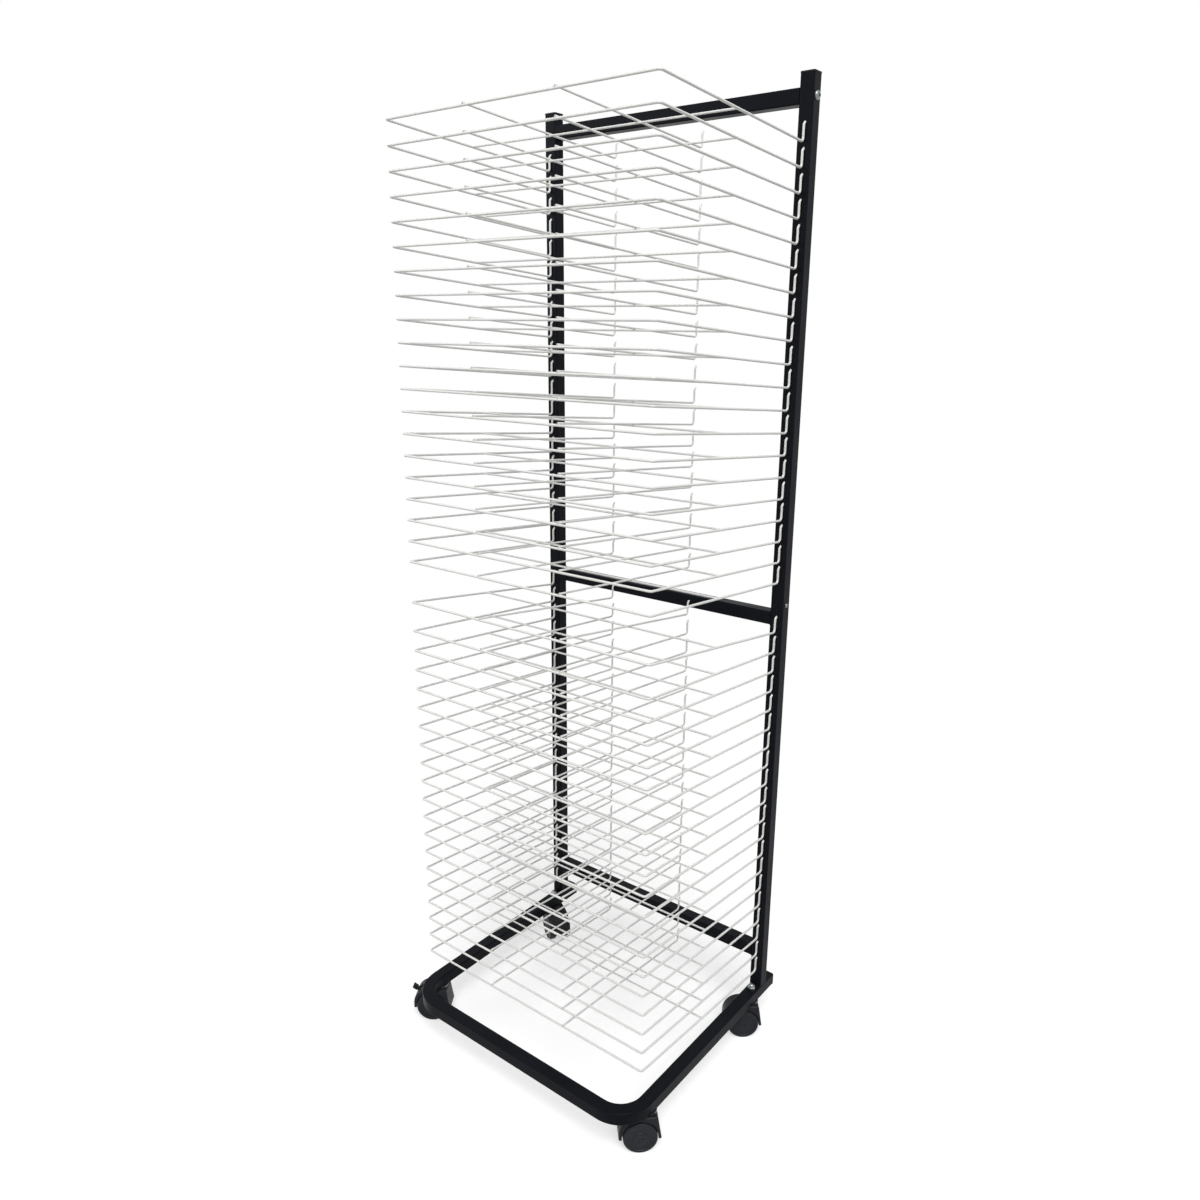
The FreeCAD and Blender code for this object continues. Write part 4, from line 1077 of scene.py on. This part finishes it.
def floor_material(rgb, lift, clear, white):
    """White studio paper: matt, lifted to white where it has no shadow, and pure white far out."""
    material, tree, coords = new_material("studio_paper")
    paper = add_node(tree, "ShaderNodeBsdfDiffuse", {"Color": shade(1.0, rgb), "Roughness": 1.0})
    seen = is_seen_ray(tree)
    strength = add_node(tree, "ShaderNodeMath", {0: seen, 1: lift}, operation="MULTIPLY")
    glow = add_node(tree, "ShaderNodeEmission", {"Strength": strength.outputs["Value"]})
    near = add_node(
        tree, "ShaderNodeAddShader", {0: paper.outputs["BSDF"], 1: glow.outputs["Emission"]}
    )
    away = add_node(tree, "ShaderNodeVectorMath", {0: coords}, operation="LENGTH").outputs["Value"]
    fade = add_node(
        tree,
        "ShaderNodeMapRange",
        {"Value": away, "From Min": clear, "From Max": white},
        interpolation_type="SMOOTHSTEP",
    ).outputs["Result"]
    far = add_node(tree, "ShaderNodeMath", {0: fade, 1: seen}, operation="MULTIPLY")
    paper_white = add_node(tree, "ShaderNodeEmission", {"Strength": 1.0})
    both = add_node(
        tree,
        "ShaderNodeMixShader",
        {0: far.outputs["Value"], 1: near.outputs["Shader"], 2: paper_white.outputs["Emission"]},
    )
    add_node(tree, "ShaderNodeOutputMaterial", {"Surface": both.outputs["Shader"]})
    return material


def white_world(sky_level):
    """White to the eye and to gloss, and a soft even light on the rest."""
    world = bpy.data.worlds.new("studio_world")
    bpy.context.scene.world = world
    world.use_nodes = True
    tree = world.node_tree
    tree.nodes.clear()
    strength = add_node(
        tree, "ShaderNodeMapRange", {"Value": is_seen_ray(tree), "To Min": sky_level}
    ).outputs["Result"]
    white = (1.0, 1.0, 1.0, 1.0)
    glow = add_node(tree, "ShaderNodeBackground", {"Color": white, "Strength": strength})
    add_node(tree, "ShaderNodeOutputWorld", {"Surface": glow.outputs["Background"]})


def area_light(name, where, target, size, power):
    """A square soft box that looks at a point."""
    light = bpy.data.lights.new(name, "AREA")
    light.shape = "SQUARE"
    light.size = size
    light.energy = power
    lamp = bpy.data.objects.new(name, light)
    lamp.location = where
    lamp.rotation_euler = (Vector(target) - Vector(where)).to_track_quat("-Z", "Y").to_euler()
    bpy.context.scene.collection.objects.link(lamp)


class RACK_OT_stage(bpy.types.Operator):
    """Sets the floor, the white world, the soft lights and the camera"""

    bl_idname = "rack.stage"
    bl_label = "Stage"

    def execute(self, context):
        studio = context.scene.rack_studio
        bm = bmesh.new()
        bmesh.ops.create_circle(bm, cap_ends=True, radius=studio.floor_radius, segments=96)
        mesh = bpy.data.meshes.new("floor")
        bm.to_mesh(mesh)
        bm.free()
        rgb = context.scene.rack_colours.floor
        paper = floor_material(rgb, studio.floor_lift, studio.clear_radius, studio.white_radius)
        mesh.materials.append(paper)
        floor = bpy.data.objects.new("floor", mesh)
        context.scene.collection.objects.link(floor)
        white_world(studio.sky_level)
        target = studio.light_target
        area_light("key_light", studio.key_place, target, studio.key_size, studio.key_power)
        area_light("fill_light", studio.fill_place, target, studio.fill_size, studio.fill_power)
        camera = bpy.data.objects.new("camera", bpy.data.cameras.new("camera"))
        camera.data.sensor_width = SENSOR_WIDTH
        camera.data.lens = studio.camera_lens
        camera.location = studio.camera_place
        turn = Matrix.Rotation(studio.camera_turn, 4, "Z")
        dip = Matrix.Rotation(math.pi / 2 - studio.camera_dip, 4, "X")
        roll = Matrix.Rotation(studio.camera_roll, 4, "Z")
        camera.rotation_euler = (turn @ dip @ roll).to_euler()
        context.scene.collection.objects.link(camera)
        context.scene.camera = camera
        context.scene.view_settings.view_transform = "Standard"
        return {"FINISHED"}


# ---------------------------------------------------------------- panel and registration

PIECES = (
    RACK_OT_frame_tubes,
    RACK_OT_tube_caps,
    RACK_OT_shelves,
    RACK_OT_casters,
    RACK_OT_fasteners,
    RACK_OT_stage,
)

SETTINGS = {
    "rack_shelf_sizes": RackShelfSizes,
    "rack_frame_sizes": RackFrameSizes,
    "rack_caster_sizes": RackCasterSizes,
    "rack_colours": RackColours,
    "rack_studio": RackStudio,
}


class RACK_PT_tools(bpy.types.Panel):
    """Lists the pieces of the rack with their sizes and colours"""

    bl_idname = "RACK_PT_tools"
    bl_label = "Drying Rack"
    bl_space_type = "VIEW_3D"
    bl_region_type = "UI"
    bl_category = "Drying Rack"

    def draw(self, context):
        for operator in PIECES:
            self.layout.operator(operator.bl_idname)
        for group, kind in SETTINGS.items():
            box = self.layout.box()
            for name in kind.__annotations__:
                box.prop(getattr(context.scene, group), name)


CLASSES = (*SETTINGS.values(), *PIECES, RACK_PT_tools)


def register():
    """Registers the classes and gives the scene their settings."""
    for cls in CLASSES:
        bpy.utils.register_class(cls)
    for name, group in SETTINGS.items():
        setattr(bpy.types.Scene, name, bpy.props.PointerProperty(type=group))


def unregister():
    """Takes back what register does."""
    for name in SETTINGS:
        delattr(bpy.types.Scene, name)
    for cls in reversed(CLASSES):
        bpy.utils.unregister_class(cls)


def main():
    """Makes every piece and the stage."""
    register()
    bpy.ops.rack.frame_tubes()
    bpy.ops.rack.tube_caps()
    bpy.ops.rack.shelves()
    bpy.ops.rack.casters()
    bpy.ops.rack.fasteners()
    bpy.ops.rack.stage()


if __name__ == "__main__":
    main()
